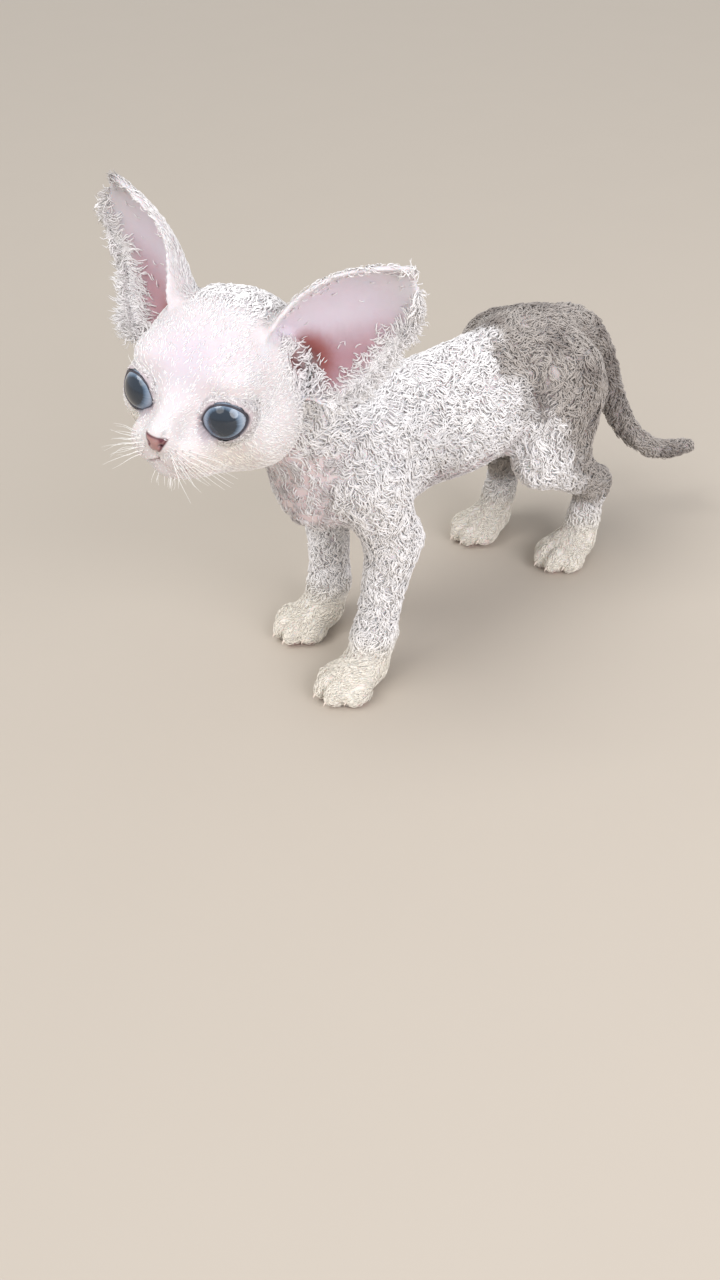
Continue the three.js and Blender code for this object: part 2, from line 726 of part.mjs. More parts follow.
// Legs
for (const { side, word } of SIDES) {
  const j = foreJoints(side, word);
  const elbowPlane = { point: add(j.elbow, [0, 1, -5]), normal: [0, -0.1, -1] };
  const wristPlane = { point: add(j.wrist, [0, 0, -2]), normal: [0, -0.1, -1] };
  const upperBone = straightBone(add(j.shoulder, [0, 6, 4]), j.elbow);
  const outer = side === LEFT ? [-75, 75] : [105, 255];
  const upper = wrapped(upperBone, { sides: 16, rings: 11, caps: 3, reach: 30 }).add(
    locksRound(upperBone, {
      rows: 2,
      columns: 2,
      angles: outer,
      lie: () => [0, 0.35, -1],
      length: 19,
      width: 13,
      reach: 30,
    }),
  );
  addNode(
    "fore_" + word + "_upper",
    upper.intersect(ovalZone(shoulderZone(side), -HALF_GAP)).intersect(before(elbowPlane)),
    whiteCoat,
  );
  const armBone = straightBone(j.elbow, add(j.wrist, [0, 0, -4]));
  const arm = wrapped(armBone, { sides: 12, rings: 10, caps: 3, reach: 16 }).add(
    locksRound(armBone, {
      rows: 2,
      columns: 2,
      lie: () => [0, 0.1, -1],
      length: 16,
      width: 11,
      reach: 16,
    }),
  );
  addNode("fore_" + word + "_arm", arm.intersect(beyond(elbowPlane)).intersect(before(wristPlane)), whiteCoat);
  const paw = wrapped(straightBone(add(j.paw, [0, 0, -1]), add(j.paw, [0, -13, -3])), {
    sides: 16,
    rings: 16,
    caps: 6,
    reach: 20,
  });
  addNode("fore_" + word + "_paw", paw.intersect(beyond(wristPlane)).intersect(aboveFloor), whiteCoat);
}
for (const { side, word } of SIDES) {
  const j = hindJoints(side, word);
  const kneePlane = { point: add(j.knee, [0, 8, -9]), normal: [0, 0.2, -0.98] };
  const hockPlane = { point: add(j.hock, [0, -1, -5]), normal: [0, -0.1, -1] };
  const thighBone = straightBone(add(j.hip, [0, 2, -2]), add(j.knee, [0, 6, 4]));
  const outer = side === LEFT ? [-80, 80] : [100, 260];
  const thigh = wrapped(thighBone, { sides: 16, rings: 11, caps: 3, reach: 32 }).add(
    locksRound(thighBone, {
      rows: 2,
      columns: 2,
      angles: outer,
      lie: () => [0, 0.6, -1],
      length: 20,
      width: 14,
      reach: 32,
    }),
  );
  addNode(
    "hind_" + word + "_thigh",
    thigh.intersect(ovalZone(thighZone(side), -HALF_GAP)).intersect(before(kneePlane)),
    greyCoat,
  );
  const shankBone = straightBone(add(j.knee, [0, 6, -2]), add(j.hock, [0, 0, -2]));
  const shank = wrapped(shankBone, { sides: 12, rings: 10, caps: 4, reach: 31 }).add(
    locksRound(shankBone, {
      rows: 2,
      columns: 2,
      lie: () => [0, 0.5, -1],
      length: 14,
      width: 9,
      reach: 20,
    }),
  );
  addNode("hind_" + word + "_shank", shank.intersect(beyond(kneePlane)).intersect(before(hockPlane)), greyCoat);
  const foot = wrapped(straightBone(add(j.hock, [0, 0, 2]), add(j.paw, [0, -1, 0])), {
    sides: 12,
    rings: 8,
    caps: 3,
    reach: 14,
  });
  const paw = wrapped(straightBone(add(j.paw, [0, -1, -1]), add(j.paw, [0, -14, -3])), {
    sides: 16,
    rings: 16,
    caps: 6,
    reach: 20,
  });
  const footPlane = { point: add(j.paw, [0, 0, 7]), normal: [0, -0.1, -1] };
  addNode("hind_" + word + "_foot", foot.intersect(beyond(hockPlane)).intersect(before(footPlane)), whiteCoat);
  addNode("hind_" + word + "_paw", paw.intersect(beyond(footPlane)).intersect(aboveFloor), whiteCoat);
}

// Tail, in three lengths
const tailBone = curvedBone(tailCurve, 0.04, 0.985);
const tail = wrapped(tailBone, { sides: 10, rings: 28, caps: 3, reach: 12 }).add(
  locksRound(tailBone, {
    rows: 3,
    columns: 2,
    lie: (share) => tailBone.heading(share),
    length: 15,
    width: 7,
    reach: 12,
  }),
);
addNode("tail_base", tail.intersect(beyond(tailPlanes[0])).intersect(before(tailPlanes[1])), greyCoat);
addNode("tail_middle", tail.intersect(beyond(tailPlanes[1])).intersect(before(tailPlanes[2])), greyCoat);
addNode("tail_tip", tail.intersect(beyond(tailPlanes[2])), greyCoat);

// The origin is on the floor under the middle of the bounding box
const extent = new THREE.Box3().setFromObject(kitten, true);
kitten.position.set(-(extent.min.x + extent.max.x) / 2, -(extent.min.y + extent.max.y) / 2, 0);

export default kitten;
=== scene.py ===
"""A Devon Rex kitten of about eight weeks, life size, standing on its four paws.

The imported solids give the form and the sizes. This script gives the looks: one skin without
seams, glossy eyes, a short curly coat of solid tufts, whiskers, claws, a pale floor and soft light.
"""

import math

import bmesh
import bpy
import numpy as np
from mathutils import Matrix, Vector
from mathutils.kdtree import KDTree


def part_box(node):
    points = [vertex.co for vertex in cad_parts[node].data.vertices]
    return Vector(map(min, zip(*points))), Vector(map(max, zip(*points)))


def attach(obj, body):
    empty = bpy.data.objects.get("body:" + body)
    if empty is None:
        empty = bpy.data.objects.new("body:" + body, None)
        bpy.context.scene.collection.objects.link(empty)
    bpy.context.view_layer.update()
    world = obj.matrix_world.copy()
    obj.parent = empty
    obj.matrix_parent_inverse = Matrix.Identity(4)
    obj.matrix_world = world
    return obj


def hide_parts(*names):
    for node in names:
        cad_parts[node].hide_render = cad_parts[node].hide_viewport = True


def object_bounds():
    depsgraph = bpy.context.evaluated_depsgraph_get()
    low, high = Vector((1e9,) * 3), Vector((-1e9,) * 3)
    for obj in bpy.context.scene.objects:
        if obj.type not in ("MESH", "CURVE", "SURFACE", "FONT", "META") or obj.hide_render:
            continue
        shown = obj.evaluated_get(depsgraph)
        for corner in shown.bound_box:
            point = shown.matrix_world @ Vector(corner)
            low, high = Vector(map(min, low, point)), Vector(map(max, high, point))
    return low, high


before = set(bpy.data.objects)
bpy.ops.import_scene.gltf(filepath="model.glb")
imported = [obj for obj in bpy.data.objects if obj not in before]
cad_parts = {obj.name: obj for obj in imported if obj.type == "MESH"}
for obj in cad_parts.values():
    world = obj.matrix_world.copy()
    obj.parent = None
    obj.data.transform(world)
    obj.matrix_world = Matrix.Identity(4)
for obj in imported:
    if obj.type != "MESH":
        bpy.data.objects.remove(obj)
cad_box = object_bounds()

# The flesh under the coat. It is one smooth form of balls, ellipsoids and tapered limbs with the
# same sizes in millimetres as the solids, in the kitten's own frame: nose to -Y, left side to +X.
MM = 0.001
SIDES = {"left": 1, "right": -1}
HEAD_YAW, HEAD_PITCH, HEAD_ROLL = 24, 4, 9
EYE_RADIUS = 8.1
EYE_CENTRE = np.array([13.2, -19.6, 0.6])
HEAD_CENTRE = np.array([4.0, -91.0, 140.0])


def turn_matrix(*turns):
    """Several turns in degrees about the axes named, the last of them done first."""
    whole = Matrix.Identity(3)
    for degrees, axis in turns:
        whole = whole @ Matrix.Rotation(math.radians(degrees), 3, axis)
    return np.array(whole)


head_turn = turn_matrix((HEAD_YAW, "Z"), (-HEAD_PITCH, "X"), (HEAD_ROLL, "Y"))


def box_centre(solid):
    low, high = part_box(solid)
    return np.array(low + high) / 2


eyes_between = (box_centre("eye_left") + box_centre("eye_right")) / (2 * MM)
SHIFT = eyes_between - (HEAD_CENTRE + head_turn @ (EYE_CENTRE * [0, 1, 1]))


def to_metres(points):
    return (points + SHIFT) * MM


def to_head(points):
    return (points - HEAD_CENTRE) @ head_turn


def from_head(points):
    return points @ head_turn.T + HEAD_CENTRE


def both_sides(q):
    return [q, q * [-1, 1, 1]]


def ellipsoid(points, centre, radii, turn=0.0):
    """About how far each point is outside an ellipsoid, which may be turned about Z."""
    d = points - np.array(centre, float)
    if turn:
        c, s = math.cos(math.radians(turn)), math.sin(math.radians(turn))
        d = np.stack([c * d[:, 0] + s * d[:, 1], c * d[:, 1] - s * d[:, 0], d[:, 2]], 1)
    radii = np.array(radii, float)
    scaled = np.linalg.norm(d / radii, axis=1)
    steep = np.linalg.norm(d / radii**2, axis=1)
    return scaled * (scaled - 1) / np.maximum(steep, 1e-9)


def limb(points, start, end, start_radius, end_radius):
    """How far each point is outside a round bar that tapers from start to end."""
    start, end = np.array(start, float), np.array(end, float)
    axis = end - start
    share = np.clip((points - start) @ axis / (axis @ axis), 0, 1)
    off_axis = np.linalg.norm(points - (start + share[:, None] * axis), axis=1)
    return off_axis - (start_radius + share * (end_radius - start_radius))


def melt(a, b, softness):
    """Two forms joined, with a fillet about as wide as the softness."""
    h = np.maximum(softness - np.abs(a - b), 0) / softness
    return np.minimum(a, b) - h * h * softness / 4


def blend(forms, softness):
    whole = forms[0]
    for form in forms[1:]:
        whole = melt(whole, form, softness)
    return whole


def fade(x, low, high):
    """0 at low and beyond, 1 at high and beyond, and smooth between them."""
    t = np.clip((x - low) / (high - low), 0, 1)
    return t * t * (3 - 2 * t)


def trunk_form(p):
    ribs = ellipsoid(p, [0, -27, 88], [24, 37, 27.5])
    breast_bone = ellipsoid(p, [0, -55, 86], [17, 14, 20])
    withers = ellipsoid(p, [0, -38, 103], [14, 24, 13])
    belly = ellipsoid(p, [0, 18, 85], [25, 42, 24])
    rump = ellipsoid(p, [0, 58, 92], [22, 27, 23])
    spine = limb(p, [0, -30, 102], [0, 62, 102], 12.5, 12.5)
    return blend([ribs, breast_bone, withers, belly, rump, spine], 9)


def neck_form(p):
    return limb(p, [0, -47, 99], [2, -74, 127], 20, 17.5)


def solid_head(p):
    q = to_head(p)
    cranium = ellipsoid(q, [0, 4, 3.5], [27, 28.5, 24])
    cheeks = [ellipsoid(m, [16.5, -6, -7.5], [13.5, 15, 13]) for m in both_sides(q)]
    brows = [ellipsoid(m, [11, -17, 10.5], [9.5, 8, 6.5]) for m in both_sides(q)]
    jaws = [limb(m, [14, -2, -14], [5.5, -22, -16.5], 9.5, 6.2) for m in both_sides(q)]
    bridge = limb(q, [0, -18, 4], [0, -30, -5], 9, 6.5)
    snout = ellipsoid(q, [0, -24, -9], [12.5, 11, 9.5])
    pads = [ellipsoid(m, [6.1, -29.5, -10.6], [7.2, 7.4, 6.1], -14) for m in both_sides(q)]
    chin = ellipsoid(q, [0, -27, -16.8], [7, 7.4, 5.2])
    nose_back = limb(q, [0, -27, 0], [0, -35, -4.4], 5.2, 3.6)
    nose_tip = ellipsoid(q, [0, -36, -5.6], [4, 3.3, 2.9])
    skull = blend([cranium, *cheeks, *brows, *jaws, bridge, snout], 7)
    head = melt(skull, blend([*pads, chin, nose_back, nose_tip], 2.4), 4.5)
    for m in both_sides(q):
        eye_corner = ellipsoid(m, [7.4, -32.6, 0.5], [2.4, 3.8, 4.4])
        head = -melt(-head, eye_corner, 3.2)
    lids = [np.linalg.norm(m - EYE_CENTRE, axis=1) - EYE_RADIUS - 1.15 for m in both_sides(q)]
    return melt(head, np.minimum(*lids), 2.2)


CONCH, CONCH_RADII = [27, 6.5, 10.5], [8.5, 6.5, 8.5]


def head_form(p):
    """The head with a hollow in each ear's cup."""
    head = solid_head(p)
    for m in both_sides(to_head(p)):
        head = -melt(-head, ellipsoid(m, CONCH, CONCH_RADII), 2.5)
    return head


# Each pair of legs: shoulder or hip, elbow or knee, wrist or hock, and paw on the left side, how
# far each goes along with the leg's step in Y, and the paw's width, length, place and toes' turn.
LEGS = {
    "fore": {
        "places": [(20, -45, 90), (21.5, -33, 60), (20, -38, 21), (20.5, -42, 9)],
        "shares": (0, 0.3, 0.9, 1),
        "step": {"left": -7, "right": 5},
        "paw": (10, 19, 0, 0.05),
    },
    "hind": {
        "places": [(16.5, 62, 92), (23, 44, 63), (20.5, 80, 34), (20.5, 74, 9)],
        "shares": (0, 0.35, 0.9, 1),
        "step": {"left": 6, "right": -6},
        "paw": (9.4, 18, -1, 0.04),
    },
}

# Inner and outer toes: shares of the paw's width and length, share of its turn, and radii
TOES = [(0.32, 0.95, 0, [4, 7, 5.5]), (0.86, 0.66, 1, [3.8, 6.6, 5])]


def joints(kind, word):
    leg = LEGS[kind]
    step = leg["step"][word]
    placed = zip(leg["places"], leg["shares"])
    return [np.array([x * SIDES[word], y + share * step, z], float) for (x, y, z), share in placed]


def paw_of(kind, word):
    """The middle of a paw, its width and length, and how far its outer toes turn."""
    width, length, back, turn = LEGS[kind]["paw"]
    return joints(kind, word)[-1] + [0, back, 0], width, length, turn * SIDES[word]


def toe_places(palm, width, length, turn):
    """The X and Y of each toe's middle, with its radii."""
    for sideways, forward, turned, radii in TOES:
        for hand in (-1, 1):
            yield palm[0] + (hand * sideways + turned * turn) * width, palm[1] - forward * length, radii


def paw_form(p, kind, word):
    palm, width, length, turn = paw_of(kind, word)
    placed = toe_places(palm, width, length, turn)
    toes = [ellipsoid(p, [x, y, radii[2] - 0.7], radii) for x, y, radii in placed]
    sole = ellipsoid(p, [palm[0], palm[1] - 0.3 * length, 6.3], [9.4, 11, 7])
    return melt(blend(toes, 1.1), sole, 2)


def fore_form(p, word):
    side = SIDES[word]
    shoulder, elbow, wrist, paw = joints("fore", word)
    shoulder_blade = ellipsoid(p, shoulder + [-2 * side, 6, 4], [9, 17, 19])
    upper = limb(p, shoulder, elbow, 14, 10.2)
    elbow_tip = limb(p, elbow + [0, 5, 2.5], elbow + [0, 5, 2.4], 7, 7)
    arm = limb(p, elbow, wrist, 10.2, 7.9)
    pastern = limb(p, wrist, paw, 7.9, 8.6)
    return melt(blend([shoulder_blade, upper, elbow_tip, arm, pastern], 5), paw_form(p, "fore", word), 4)


def hind_form(p, word):
    side = SIDES[word]
    hip, knee, hock, paw = joints("hind", word)
    thigh = limb(p, hip, knee, 18, 12)
    haunch = limb(p, hip + [side, 12, -8], knee + [-side, 21, -4], 12, 8)
    shank = limb(p, knee, hock, 11, 6.9)
    tendon = limb(p, knee + [0, 20, -6], hock, 6.5, 5.5)
    heel = limb(p, hock + [0, 2.5, 1.5], hock + [0, 2.5, 1.4], 5.6, 5.6)
    foot = limb(p, hock, paw, 6.9, 7.6)
    return melt(blend([thigh, haunch, shank, tendon, heel, foot], 5), paw_form(p, "hind", word), 4)


TAIL_X = [0, 0, 1, 3, 7, 13, 21, 29]
TAIL_Y = [74, 88, 101, 109, 114, 121, 131, 143]
TAIL_Z = [103, 101, 90, 74, 57, 42, 33, 33]
TAIL_LINKS = 14
TAIL_THICK, TAIL_THIN = 9.5, 4.1


def along_route(route, count):
    """Points spaced evenly along a smooth curve through the route."""
    padded = np.vstack([2 * route[0] - route[1], route, 2 * route[-1] - route[-2]])
    fine = []
    for a, b, c, d in zip(padded, padded[1:], padded[2:], padded[3:]):
        for t in np.arange(0, 1, 0.05):
            bend = 2 * b + (c - a) * t + (2 * a - 5 * b + 4 * c - d) * t**2 + (3 * b - a - 3 * c + d) * t**3
            fine.append(bend / 2)
    fine = np.array(fine + [route[-1]])
    run = np.concatenate([[0], np.cumsum(np.linalg.norm(np.diff(fine, axis=0), axis=1))])
    wanted = np.linspace(0, run[-1], count)
    return np.stack([np.interp(wanted, run, fine[:, k]) for k in range(3)], 1)


tail_line = along_route(np.array([TAIL_X, TAIL_Y, TAIL_Z], float).T, TAIL_LINKS + 1)
tail_radii = TAIL_THICK + (TAIL_THIN - TAIL_THICK) * np.linspace(0, 1, TAIL_LINKS + 1) ** 0.75


def part_forms(p):
    """Head, neck, trunk, fore legs, hind legs and tail, each by itself."""
    forms = [head_form(p), neck_form(p), trunk_form(p)]
    forms += [fore_form(p, word) for word in SIDES]
    forms += [hind_form(p, word) for word in SIDES]
    links = zip(tail_line, tail_line[1:], tail_radii, tail_radii[1:])
    return forms + [blend([limb(p, *link) for link in links], 2)]


def flesh_form(p):
    head, neck, trunk, *legs, tail = part_forms(p)
    body = blend([melt(trunk, neck, 12), *legs], 8)
    return blend([body, tail, head], 7)


def level_and_slope(points, reach=0.2):
    """The flesh's distance and the direction it grows in, from four points round each point."""
    corners = np.array([[1, 1, 1], [1, -1, -1], [-1, 1, -1], [-1, -1, 1]], float)
    levels = np.stack([flesh_form(points + corner * reach) for corner in corners], 1)
    return levels.mean(1), levels @ corners / (4 * reach)


# The ears: huge thin cups of skin and gristle, set low and wide. Each starts as a grid bent round
# its own length, gets the wall's thickness, and is fused to the head with the rest of the skin.
EAR_LENGTH, EAR_HALF_WIDTH, EAR_WALL = 51, 18, 1.35
EAR_BASE = np.array([20.5, 4, 8.5])
EAR_OUTWARD, EAR_TURN, EAR_LEAN = 42, 24, 6
EAR_SUNK, EAR_TOP = -0.2, 0.985
EAR_CELLS, TIP_CROWDING = 56, 1.3


def ear_sheet(u, v, side):
    """A point of the ear's middle layer: u from edge to edge, v from base to tip."""
    above = np.maximum(v, 0)
    waist = 0.66 + 0.34 * fade(v, -0.2, 0.42)
    dome = (1 - np.minimum(above, 1) ** 2.5) ** 0.5
    half_width = EAR_HALF_WIDTH * waist * dome + 0.5
    half_width = half_width * (1 - 0.45 * fade(v, 0.1, -0.12) * fade(u, 0.3, 1))
    curl = np.radians(112 - 64 * fade(v, -0.15, 0.7))
    bend_radius = half_width / np.sin(np.minimum(curl, math.pi / 2))
    bend = u * curl
    lean = 5 * np.sin(math.pi * above) - 3 * v
    outward = side * (bend_radius * np.sin(bend) + 2.5 * u * u * v)
    backward = -bend_radius * (1 - np.cos(bend)) + lean + 9
    upward = EAR_LENGTH * v - 3 * u * u * v
    seat = turn_matrix((EAR_OUTWARD * side, "Y"), (-EAR_LEAN, "X"), (EAR_TURN * side, "Z"))
    return from_head(np.stack([outward, backward, upward], -1) @ seat.T + EAR_BASE * [side, 1, 1])


ears = bmesh.new()
ear_layers = []
for side in SIDES.values():
    sheet = bmesh.ops.create_grid(ears, x_segments=EAR_CELLS, y_segments=EAR_CELLS, size=1)["verts"]
    grid = np.array([v.co for v in sheet])
    v_along = EAR_SUNK + (EAR_TOP - EAR_SUNK) * (1 - ((1 - grid[:, 1]) / 2) ** TIP_CROWDING)
    ear_layers.append(ear_sheet(grid[:, 0], v_along, side))
    for vert, place in zip(sheet, ear_layers[-1]):
        vert.co = place
bmesh.ops.recalc_face_normals(ears, faces=ears.faces)
bmesh.ops.solidify(ears, geom=ears.faces, thickness=EAR_WALL)
for vert in ears.verts:
    vert.co = Vector(to_metres(np.array(vert.co)))

# The skin: thin, warm and pink under the sparse coat, one closed surface with no seam. The solids
# of the flesh are joined, remade in small even cells, drawn onto the smooth form and moved in by
# the coat's depth, then lids, nose, mouth and ear folds are worked into the face.
FLESH = [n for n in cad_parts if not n.startswith(("eye_", "ear_"))]
EARS = ["ear_left", "ear_right"]
SEAM_CLOSER = 0.3 * MM
CELL = 1.0 * MM
COAT_DEPTH = 1.5
FAR = 99.0


def add_object(name, data):
    made = bpy.data.objects.new(name, data)
    bpy.context.scene.collection.objects.link(made)
    return made


def mesh_from(build, name):
    made = bpy.data.meshes.new(name)
    build.to_mesh(made)
    build.free()
    return made


joined = bmesh.new()
for solid in FLESH:
    joined.from_mesh(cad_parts[solid].data)
bmesh.ops.remove_doubles(joined, verts=joined.verts, dist=0.001 * MM)
joined.normal_update()
for vert in joined.verts:
    vert.co += vert.normal * SEAM_CLOSER
ears_mesh = mesh_from(ears, "ears_loose")
joined.from_mesh(ears_mesh)
bpy.data.meshes.remove(ears_mesh)
skin = add_object("skin", mesh_from(joined, "skin"))


def finished_mesh(obj):
    """The object's mesh with its modifiers worked in."""
    bpy.context.view_layer.update()
    return bpy.data.meshes.new_from_object(obj.evaluated_get(bpy.context.evaluated_depsgraph_get()))


def apply_modifiers(obj):
    done = finished_mesh(obj)
    obj.modifiers.clear()
    old = obj.data
    obj.data = done
    bpy.data.meshes.remove(old)
    done.name = obj.name


def listed(items, name, width, kind=float):
    """One property of all vertices, edges or corners, as rows of numbers."""
    flat = np.empty(len(items) * width, kind)
    items.foreach_get(name, flat)
    return flat.reshape(-1, width)


def points_of(mesh):
    """The mesh's vertices in millimetres, in the kitten's own frame."""
    return listed(mesh.vertices, "co", 3) / MM - SHIFT


remesh = skin.modifiers.new("even_cells", "REMESH")
remesh.mode = "VOXEL"
remesh.voxel_size = CELL
apply_modifiers(skin)

# Wider cells on the body, where the coat lies over them
BODY_BEHIND, BODY_BELOW = 22, -24
CELLS_KEPT = 0.41
head_points = to_head(points_of(skin.data))
on_body = (head_points[:, 1] > BODY_BEHIND) | (head_points[:, 2] < BODY_BELOW)
body_group = skin.vertex_groups.new(name="body")
body_group.add(np.nonzero(on_body)[0].tolist(), 1.0, "REPLACE")
wider = skin.modifiers.new("wider_cells", "DECIMATE")
wider.ratio = CELLS_KEPT
wider.vertex_group = body_group.name
apply_modifiers(skin)
skin.vertex_groups.clear()

# Finer cells on the face, and finer again round the eyes, nose and mouth
FACE_BEHIND, FACE_LOW, FACE_TOP = -9, -26, 20
EYE_PART_RADIUS, EYE_PART_FORWARD = 10.8, 1.2
MOUTH_BEHIND, MOUTH_HALF_WIDTH, MOUTH_LOW, MOUTH_TOP = -24, 11.5, -17, -1


def refine(mesh, chosen):
    cut = bmesh.new()
    cut.from_mesh(mesh)
    cut.verts.ensure_lookup_table()
    edges = [e for e in cut.edges if chosen[e.verts[0].index] and chosen[e.verts[1].index]]
    bmesh.ops.subdivide_edges(cut, edges=edges, cuts=1, use_grid_fill=True)
    cut.to_mesh(mesh)
    cut.free()


def face_part(mesh):
    x, y, z = to_head(points_of(mesh)).T
    return x, y, z, (y < FACE_BEHIND) & (z > FACE_LOW) & (z < FACE_TOP)


refine(skin.data, face_part(skin.data)[-1])
x, y, z, on_face = face_part(skin.data)
near_eye = np.zeros(len(x), bool)
for side in SIDES.values():
    off_eye = np.stack([x, y, z], 1) - EYE_CENTRE * [side, 1, 1]
    near_eye |= np.linalg.norm(off_eye, axis=1) < EYE_PART_RADIUS
near_eye &= y < EYE_CENTRE[1] - EYE_PART_FORWARD
near_mouth = (y < MOUTH_BEHIND) & (np.abs(x) < MOUTH_HALF_WIDTH) & (z < MOUTH_TOP) & (z > MOUTH_LOW)
refine(skin.data, on_face & (near_eye | near_mouth))


def nearest(spots, places):
    """For each spot, the number of the nearest place and how far off it is."""
    tree = KDTree(len(places))
    for number, place in enumerate(places):
        tree.insert(place, number)
    tree.balance()
    found = np.array([tree.find(spot)[1:] for spot in spots]).reshape(-1, 2)
    return found[:, 0].astype(int), found[:, 1]


def hump(*spans):
    """1 at the middle of every span of values, falling smoothly away over its reach."""
    return np.exp(-sum(((value - middle) / reach) ** 2 for value, middle, reach in spans))


def eased(values, pairs, rounds, share=0.5):
    """Values drawn towards the mean of their neighbours, so many times over."""
    count = len(values)
    ends = np.concatenate([pairs[:, 0], pairs[:, 1]])
    others = np.concatenate([pairs[:, 1], pairs[:, 0]])
    degree = np.maximum(np.bincount(ends, minlength=count), 1)
    share = np.broadcast_to(share, count)
    for _ in range(rounds):
        sums = [np.bincount(ends, column[others], count) for column in values.T]
        values = values + share[:, None] * (np.stack(sums, 1) / degree[:, None] - values)
    return values


# The skin is drawn onto the form in a few short steps. Where an ear stands off the flesh it keeps
# the ear's own wall, and the join between them is eased.
STEPS, LONGEST_STEP = 4, 2.5
EAR_LEVEL = -12
points = points_of(skin.data)
pairs = listed(skin.data.edges, "vertices", 2, int)
off_flesh = flesh_form(points)
head_points = to_head(points)
ear_distance = np.full(len(points), FAR)
high = head_points[:, 2] > EAR_LEVEL
ear_distance[high] = nearest(points[high], np.vstack(ear_layers))[1]
ear_share = fade(off_flesh, 0.4, 2.0) * (1 - fade(ear_distance, 1.6, 2.6))
in_head = fade(-neck_form(points) + head_form(points), 2, -4)
bare_face = in_head * fade(head_points[:, 1], 8, -8)
paw_height = fade(points[:, 2], 26, 14)
depth = COAT_DEPTH * (1 - 0.8 * np.maximum(bare_face, paw_height))
for _ in range(STEPS):
    value, slope = level_and_slope(points)
    steep = np.maximum((slope**2).sum(1), 0.2)
    step = np.clip((value + depth) / steep, -LONGEST_STEP, LONGEST_STEP) * (1 - ear_share)
    points = points - step[:, None] * slope
fillet = hump((off_flesh, 1, 1.6)) * (ear_distance < 5)
points = eased(points, pairs, 10, 0.5 * fillet)
points = eased(points, pairs, 2, 0.35)

# Lids: the skin over each eyeball opens in an almond with a rounded edge, low inner corner
EYE_OUT, EYE_UP, EYE_TILT = 17, 5, 14
EYE_HALF_LENGTH, EYE_HALF_HEIGHT = 6.9, 5.1
ALMOND_POWER = 1.75
LID_REACH, LID_ROLL = 6, 0.9


def gaze_frame(side):
    """Columns: outward along the opening, up across it, and out along the gaze, in head frame."""
    turned = turn_matrix((EYE_OUT * side, "Z"), (90 - EYE_UP, "X"))
    tilt = math.radians(EYE_TILT)
    outward, upward = turned[:, 0] * side, turned[:, 1]
    along = outward * math.cos(tilt) + upward * math.sin(tilt)
    over = upward * math.cos(tilt) - outward * math.sin(tilt)
    return np.stack([along, over, turned[:, 2]], 1)


def lid_gap(across, up):
    """Distance to the lids' edge in the plane of the opening, negative inside it."""
    half_length = np.where(across < 0, EYE_HALF_LENGTH + 0.6, EYE_HALF_LENGTH)
    droop = -0.9 * fade(across, -3, -EYE_HALF_LENGTH)
    a, b = np.abs(across) / half_length, np.abs(up - droop) / EYE_HALF_HEIGHT
    whole = np.maximum(a**ALMOND_POWER + b**ALMOND_POWER, 1e-6)
    rise_a = a ** (ALMOND_POWER - 1) / half_length
    rise_b = b ** (ALMOND_POWER - 1) / EYE_HALF_HEIGHT
    steep = np.hypot(rise_a, rise_b) * whole ** (1 / ALMOND_POWER - 1)
    return (whole ** (1 / ALMOND_POWER) - 1) / np.maximum(steep, 0.02)


lid_edge = np.full(len(points), FAR)
head_points = to_head(points)
for side in SIDES.values():
    d = head_points - EYE_CENTRE * [side, 1, 1]
    across, up, ahead = (d @ gaze_frame(side)).T
    radius = np.linalg.norm(d, axis=1)
    near = (ahead > 1) & (radius < EYE_RADIUS + LID_REACH)
    gap = lid_gap(across, up)
    lid_edge = np.where(near & (gap < lid_edge), gap, lid_edge)
    target = EYE_RADIUS - 1 + 1.2 * fade(gap, -0.45, 0.1) + 0.75 * fade(gap, 0.05, LID_ROLL)
    crease = 0.35 * hump((gap, 2.7, 0.55)) * fade(up, 0, 3)
    wanted = np.where(gap < LID_ROLL, target, radius) - crease
    head_points = head_points + np.where(near, wanted / radius - 1, 0)[:, None] * d

# Nose, the cleft under it, the line of the mouth and the nostrils, pushed in or out in millimetres
NOSE_TOP, NOSE_LOW, NOSE_HALF = -3.4, -8.4, 3.7
NOSTRIL_X, NOSTRIL_Z = 2.05, -6.0
MOUTH_X = [0, 1, 4.2, 7.8, 10.4]
MOUTH_Z = [-12.4, -13.0, -14.9, -14.5, -12.6]
MUZZLE_BEHIND = -16
x, y, z = np.abs(head_points[:, 0]), head_points[:, 1], head_points[:, 2]
front = fade(y, -22, -27)
mouth_off = z - np.interp(x, MOUTH_X, MOUTH_Z)
mouth_line = hump((mouth_off, 0, 0.5)) * fade(x, 10.6, 9) * fade(y, -17, -21)
lips = hump((mouth_off, 1, 0.8)) * fade(x, 10, 7) * front
cleft = hump((x, 0, 0.42)) * fade(z, -13, -12.2) * fade(z, -7.6, -8.6) * front
nose_half = NOSE_HALF * np.sqrt(np.clip((z - NOSE_LOW + 0.6) / (NOSE_TOP - NOSE_LOW), 0, 1))
nose_gap = np.maximum(np.maximum(x - nose_half, z - NOSE_TOP), NOSE_LOW - z)
on_nose = fade(nose_gap, 0.35, -0.25) * fade(y, -32, -34)
nostril_rise = z - NOSTRIL_Z - 0.35 * (x - NOSTRIL_X)
nostril = hump((x, NOSTRIL_X, 0.75), (nostril_rise, 0, 0.62)) * front
nostril_wing = hump((nose_gap, -0.1, 0.5)) * on_nose
pushes = -0.7 * mouth_line + 0.25 * lips - 0.55 * cleft - 1.5 * nostril - 0.2 * nostril_wing + 0.2 * on_nose
pushes = pushes * (y < MUZZLE_BEHIND)


def set_points(mesh, points):
    mesh.vertices.foreach_set("co", to_metres(points).ravel())
    mesh.update()


set_points(skin.data, from_head(head_points))
head_points = head_points + (listed(skin.data.vertices, "normal", 3) @ head_turn) * pushes[:, None]
points = np.where((in_head > 0)[:, None], from_head(head_points), points)
set_points(skin.data, points)
skin.data.shade_smooth()


